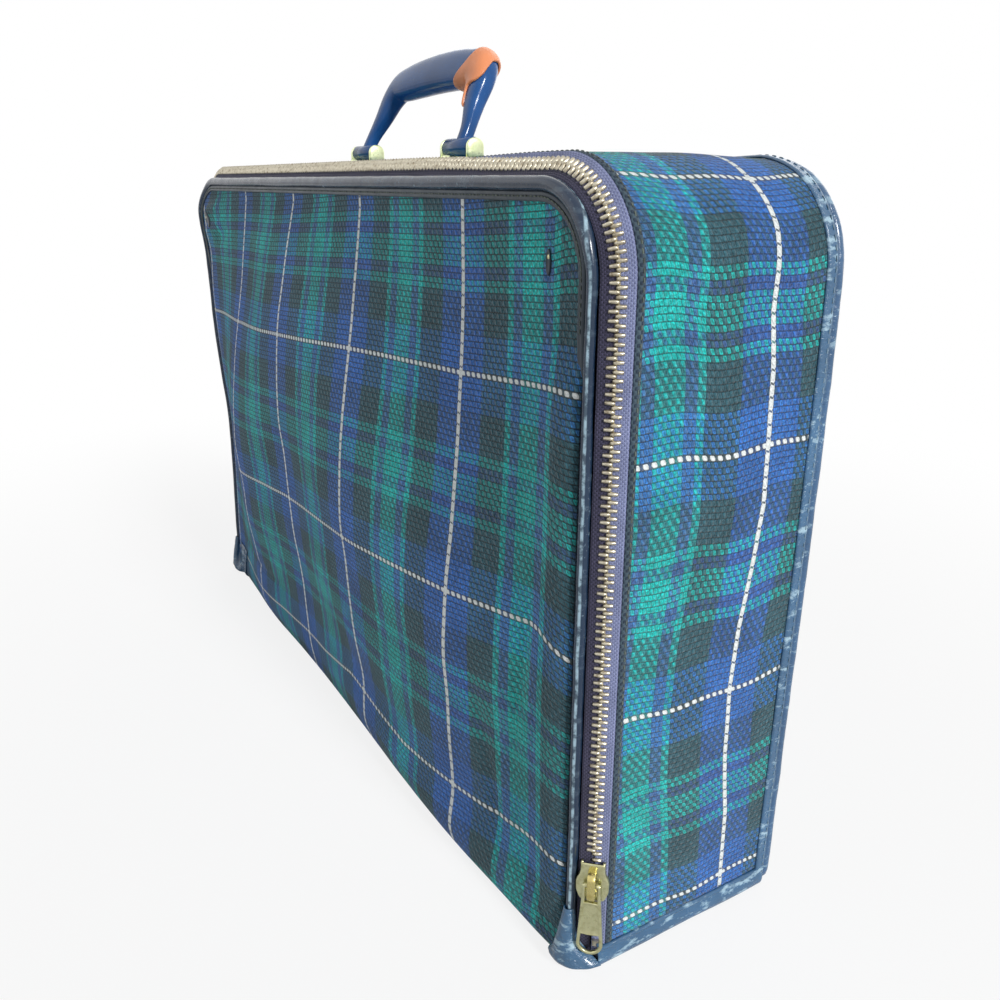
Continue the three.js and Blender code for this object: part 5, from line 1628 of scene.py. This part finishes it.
def shell(name, face, wide):
    """A channel: rows run down the slider, columns from one turned-in side over the plate to
    the other. Half the width follows a shouldered curve; the plate is slightly crowned."""
    h = np.concatenate([[0.0, 0.25], np.linspace(0.6, 19.4, 40), [19.75, 20.0]])
    down = [0, 4, 6.5, 8.5, 10.5, 15, 17, 18.8, 20]
    half = np.interp(h, down, [5.5, 5.5, 6.0, 7.0, 7.5, 7.4, 6.8, 6.0, 5.3]) * wide / 7.5
    a = np.array([-1, -1, -1, -0.985, -0.93, -0.8, -0.5, 0, 0.5, 0.8, 0.93, 0.985, 1, 1, 1])
    w = np.array([1.0, 1.9, 2.9, 3.35, 3.6, 3.68, 3.74, 3.76, 3.74, 3.68, 3.6, 3.35, 2.9, 1.9, 1.0])
    ends = np.interp(h, [0, 0.6, 19.4, 20], [0.35, 0, 0, 0.35])
    u = half[:, None] * a[None]
    return surface(name, on_slider(u, face * (w[None] - ends[:, None] * (w[None] > 3)), h[:, None]),
                   centre=on_slider(0, 0, 10))


shells = [shell("slider_plate_outer", 1, 7.5), shell("slider_plate_inner", -1, 6.3)]
for piece in shells:
    thickness(piece, 1.0 * MM)
put_on(shells[0], slider_metal, "slider", "zip_metal", "slider_body")
put_on(shells[1], slider_metal, "slider", "zip_metal")


def bar_along(name, path, place, wide, thick, squareness=3.5):
    """A rounded bar carried along a flat path. The section is a rounded oblong: wide in the
    path's plane, thick out of it. place(p, q, out) turns path plane and height into space."""
    path = np.asarray(path, float)
    step = np.gradient(path, axis=0)
    step /= np.linalg.norm(step, axis=1, keepdims=True)
    normal = np.stack([-step[:, 1], step[:, 0]], -1)
    oblong = squarish(np.linspace(0, 2 * np.pi, 12, endpoint=False), squareness)
    wide = np.broadcast_to(wide, len(path))[:, None] / 2
    thick = np.broadcast_to(thick, len(path))[:, None] / 2
    flat = path[:, None] + normal[:, None] * (wide * oblong[0][None])[..., None]
    points = place(flat[..., 0], flat[..., 1], thick * oblong[1][None])
    return surface(name, points, wrap_cols=True, capped=True)


def bridge():
    """An arch in the plane of h and w: up from the plate, along and down again."""
    rows = np.array([[3.6, 3.4], [3.5, 5.2], [3.9, 7.4], [5.2, 8.45], [7.5, 8.6], [10.5, 8.6],
                     [13.6, 8.5], [15.6, 7.9], [16.5, 6.2], [16.4, 3.4]])
    path = curve_through(rows, 6)
    return bar_along("slider_bridge_arch", path, lambda h, w, out: on_slider(out, w, h), 1.5, 3.8)


put_on(bridge(), gold_metal, "slider", "zip_metal", "slider_bridge")

# %% [markdown]
# The pull is a stamped frame: two side bars that clip on to the pin, a plate with a raised rim,
# and below it an open window with a rounded end. The frame is one bar bent along the outline,
# and the plate and crossbars are set into it.

# %% Pull
PIVOT_DOWN = 10.0
PULL_OUT = 5.7


def on_pull(u, down, out):
    """A place on the hanging pull: across, down from the pin, and out from its middle."""
    return on_slider(u, PULL_OUT + out, PIVOT_DOWN + down)


def pull_half(down):
    """Half the pull's width: narrow at the pin, widening in a straight line to the end."""
    return np.interp(down, [0, 1.5, 32.6], [3.25, 3.25, 5.3])


def pull_frame():
    """Down one side bar, round the end in half an ellipse and up the other side."""
    down = np.linspace(-0.6, 32.6, 36)
    end = np.linspace(0, np.pi, 22)[1:-1]
    half = pull_half(down)
    side = np.stack([half, down], -1)
    around = np.stack([5.3 * np.cos(end), 32.6 + 5.3 * np.sin(end)], -1)
    path = np.vstack([side, around, (side * (-1, 1))[::-1]])
    wide = np.full(len(path), 1.65)
    return bar_along("pull_frame", path, on_pull, wide, 1.8)


def pull_plate():
    """A thin plate between the side bars, hollowed a little inside its raised rim."""
    down = np.concatenate([[9.6, 9.7], np.linspace(10.0, 26.3, 24), [26.6, 26.7]])
    a = np.concatenate([[-1, -0.97], np.linspace(-0.9, 0.9, 17), [0.97, 1]])
    across, length = np.meshgrid(a, down)
    edge = np.minimum((1 - np.abs(across)) * 4.4, np.minimum(length - 9.6, 26.7 - length))
    out = 0.75 - 0.4 * np.clip((edge - 0.7) / 0.5, 0, 1)
    u = across * pull_half(length)
    return surface("pull_plate", on_pull(u, length, out), centre=on_pull(0, 16, -4))


pull_pieces = [pull_frame(), thickness(pull_plate(), 0.9 * MM)]
for name, down in (("pull_bar_upper", 9.6), ("pull_bar_lower", 26.9)):
    half = float(pull_half(down))
    bow = np.linspace(-half, half, 14)
    path = np.stack([bow, down + 0.5 * (bow / half) ** 2 * (1 if down < 12 else -0.6)], -1)
    pull_pieces.append(bar_along(name, path, on_pull, 1.2, 1.7))
pin_path = np.stack([np.linspace(-4.0, 4.0, 9), np.zeros(9)], -1)
pin_size = np.array([1.0, 1.9, 1.9, 1.3, 1.3, 1.3, 1.9, 1.9, 1.0])
pull_pieces.append(bar_along("pull_pin", pin_path, on_pull, pin_size, pin_size, squareness=2.0))
put_on(pull_pieces[0], slider_metal, "pull", "zip_metal", "pull_tab")
for piece in pull_pieces[1:]:
    put_on(piece, slider_metal, "pull", "zip_metal")

# %% [markdown]
# A small metal stud holds the cloth down near each upper corner of the lid. Only its low dome
# shows, sunk in the tuck that it makes. A dark oval ring of vinyl under each stud paints the shade
# in that tuck.

# %% Studs
def stud(name, x, z, radius):
    """A dome: rings whose radius and height follow a quarter circle, flattened."""
    turn, up = np.meshgrid(np.linspace(0, 2 * np.pi, 16, endpoint=False), np.linspace(0.05, QUARTER, 7))
    front = FRONT - float(lid_shape(np.array(x), np.array(z))) - 0.0001
    flat = radius * np.sin(up)
    points = np.stack([x + flat * np.cos(turn), front - 0.45 * radius * np.cos(up) + 0.0006 * (up > 1.5),
                       z + flat * np.sin(turn)], -1)
    return surface(name, points, wrap_cols=True, capped=True, centre=(x, front + 0.001, z))


def pinch(name, x, z, wide, tall):
    """A dark oval ring of vinyl under a stud, raised round its edge: painted shade in the tuck."""
    turn = np.linspace(0, 2 * np.pi, 28, endpoint=False)
    share = np.array([1.0, 0.94, 0.8, 0.6, 0.25])[:, None]
    out = np.array([0.0, 0.55, 0.7, 0.4, 0.35])[:, None] * MM
    across = x + wide * share * np.cos(turn)
    up = z + tall * share * np.sin(turn)
    front = FRONT - lid_shape(across, up) - out
    return surface(name, np.stack([across, front, up], -1), wrap_cols=True, capped=True, centre=(x, 0, z))


# The dark rings paint the shade in the tucks under the studs.
for name, x, wide, tall in (("right", 0.2435, 0.0016, 0.0052), ("left", -0.2400, 0.0066, 0.0064)):
    put_on(pinch(f"stud_tuck_shade_{name}", x, 0.3195, wide, tall), facing_skin, "lid", "facing")
    dome = stud(f"corner_stud_{name}", x, 0.3215, 0.0011)
    put_on(dome, slider_metal, "lid", "zip_metal", f"lid_rivet_{name}")

# %% [markdown]
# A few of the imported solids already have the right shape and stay: the rivets of the brackets,
# the zip's stops and the steel plate. They only get a finish.

# %% Finishes for the solids that stay
staying = {f"bracket_rivet_{number}": bracket_metal for number in (1, 2, 3, 4)}
staying.update({"zip_stop_right": teeth_metal, "zip_stop_left": teeth_metal, "handle_backing_plate": steel})
for name, finish in staying.items():
    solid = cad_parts[name]
    solid.data.materials.clear()
    solid.data.materials.append(finish)
print("solids kept", sorted(n for n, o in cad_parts.items() if not o.hide_render))

# %% [markdown]
# The studio is a pale floor and soft light. The photograph's key light comes from the right of
# the case, so its end is bright and its front is in soft shade. The sky lights everything a
# little, and it is white to the camera and in reflections. One wide lamp stands for the sun, and
# two weaker and wider ones for the light that a room throws back.

# %% Floor and light
def pale_floor():
    """A plain square under the case. To the camera it glows faintly near the case, so that it
    looks pale and keeps the shadow, and fully further off, where it meets the white background."""
    size = 6.0
    grid = np.stack(np.meshgrid([-size, size], [-size, size]), -1)
    points = np.concatenate([grid, np.full((2, 2, 1), -0.0004)], -1)
    floor = surface("floor", points, centre=(0, 0, -1))
    made, tree = new_finish("pale_floor", Base_Color=(0.92, 0.92, 0.92, 1), Roughness=0.9)
    matt = tree.nodes["Principled BSDF"].outputs[0]
    glow = add_node(tree, "ShaderNodeEmission", {"Color": (1, 1, 1, 1), "Strength": 1.0})
    away = add_node(tree, "ShaderNodeVectorMath", {0: object_place(tree)}, operation="LENGTH")
    seen = Flow(add_node(tree, "ShaderNodeLightPath").outputs["Is Camera Ray"])
    share = seen * ramp(Flow(away.outputs["Value"]), 0.3, 0.95, 0.84, 1.0)
    blend = add_node(tree, "ShaderNodeMixShader", {0: share, 1: matt, 2: glow.outputs[0]})
    feed(tree.nodes["Material Output"].inputs["Surface"], blend.outputs[0])
    floor.data.materials.append(made)
    floor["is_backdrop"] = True


def soft_sky(strength):
    """White to the camera, in reflections and through glass; dimmer as light on surfaces."""
    world = bpy.data.worlds.new("studio")
    bpy.context.scene.world = world
    world.use_nodes = True
    tree = world.node_tree
    rays = add_node(tree, "ShaderNodeLightPath").outputs
    seen, mirrored, through = (Flow(rays[f"Is {kind} Ray"]) for kind in ("Camera", "Glossy", "Transmission"))
    white = maths("MAXIMUM", seen, maths("MAXIMUM", mirrored, through))
    background = tree.nodes["Background"].inputs
    feed(background["Color"], (1, 1, 1, 1))
    feed(background["Strength"], ramp(white, 0.0, 1.0, strength, 1.0))


def sun(name, toward, strength, spread):
    """A lamp whose light comes from a direction; spread is how wide it looks, in degrees."""
    lamp = bpy.data.lights.new(name, "SUN")
    lamp.energy = strength
    lamp.angle = math.radians(spread)
    thing = bpy.data.objects.new(name, lamp)
    thing.rotation_mode = "QUATERNION"
    thing.rotation_quaternion = Vector(toward).to_track_quat("Z", "Y")
    bpy.context.scene.collection.objects.link(thing)


pale_floor()
soft_sky(0.2)
sun("key", (0.87, 0.06, 0.48), 2.6, 12)
sun("fill", (-0.5, -0.75, 0.4), 0.3, 60)
sun("rear", (-0.55, 0.75, 0.35), 0.6, 60)

# %% Sizes and finish
bpy.context.view_layer.update()
dressed = [list(corner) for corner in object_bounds()]
for label, (low, high) in (("CAD", cad_box), ("dressed", dressed)):
    print(label, [round((b - a) * 1000, 1) for a, b in zip(low, high)], [round(v * 1000, 1) for v in low])
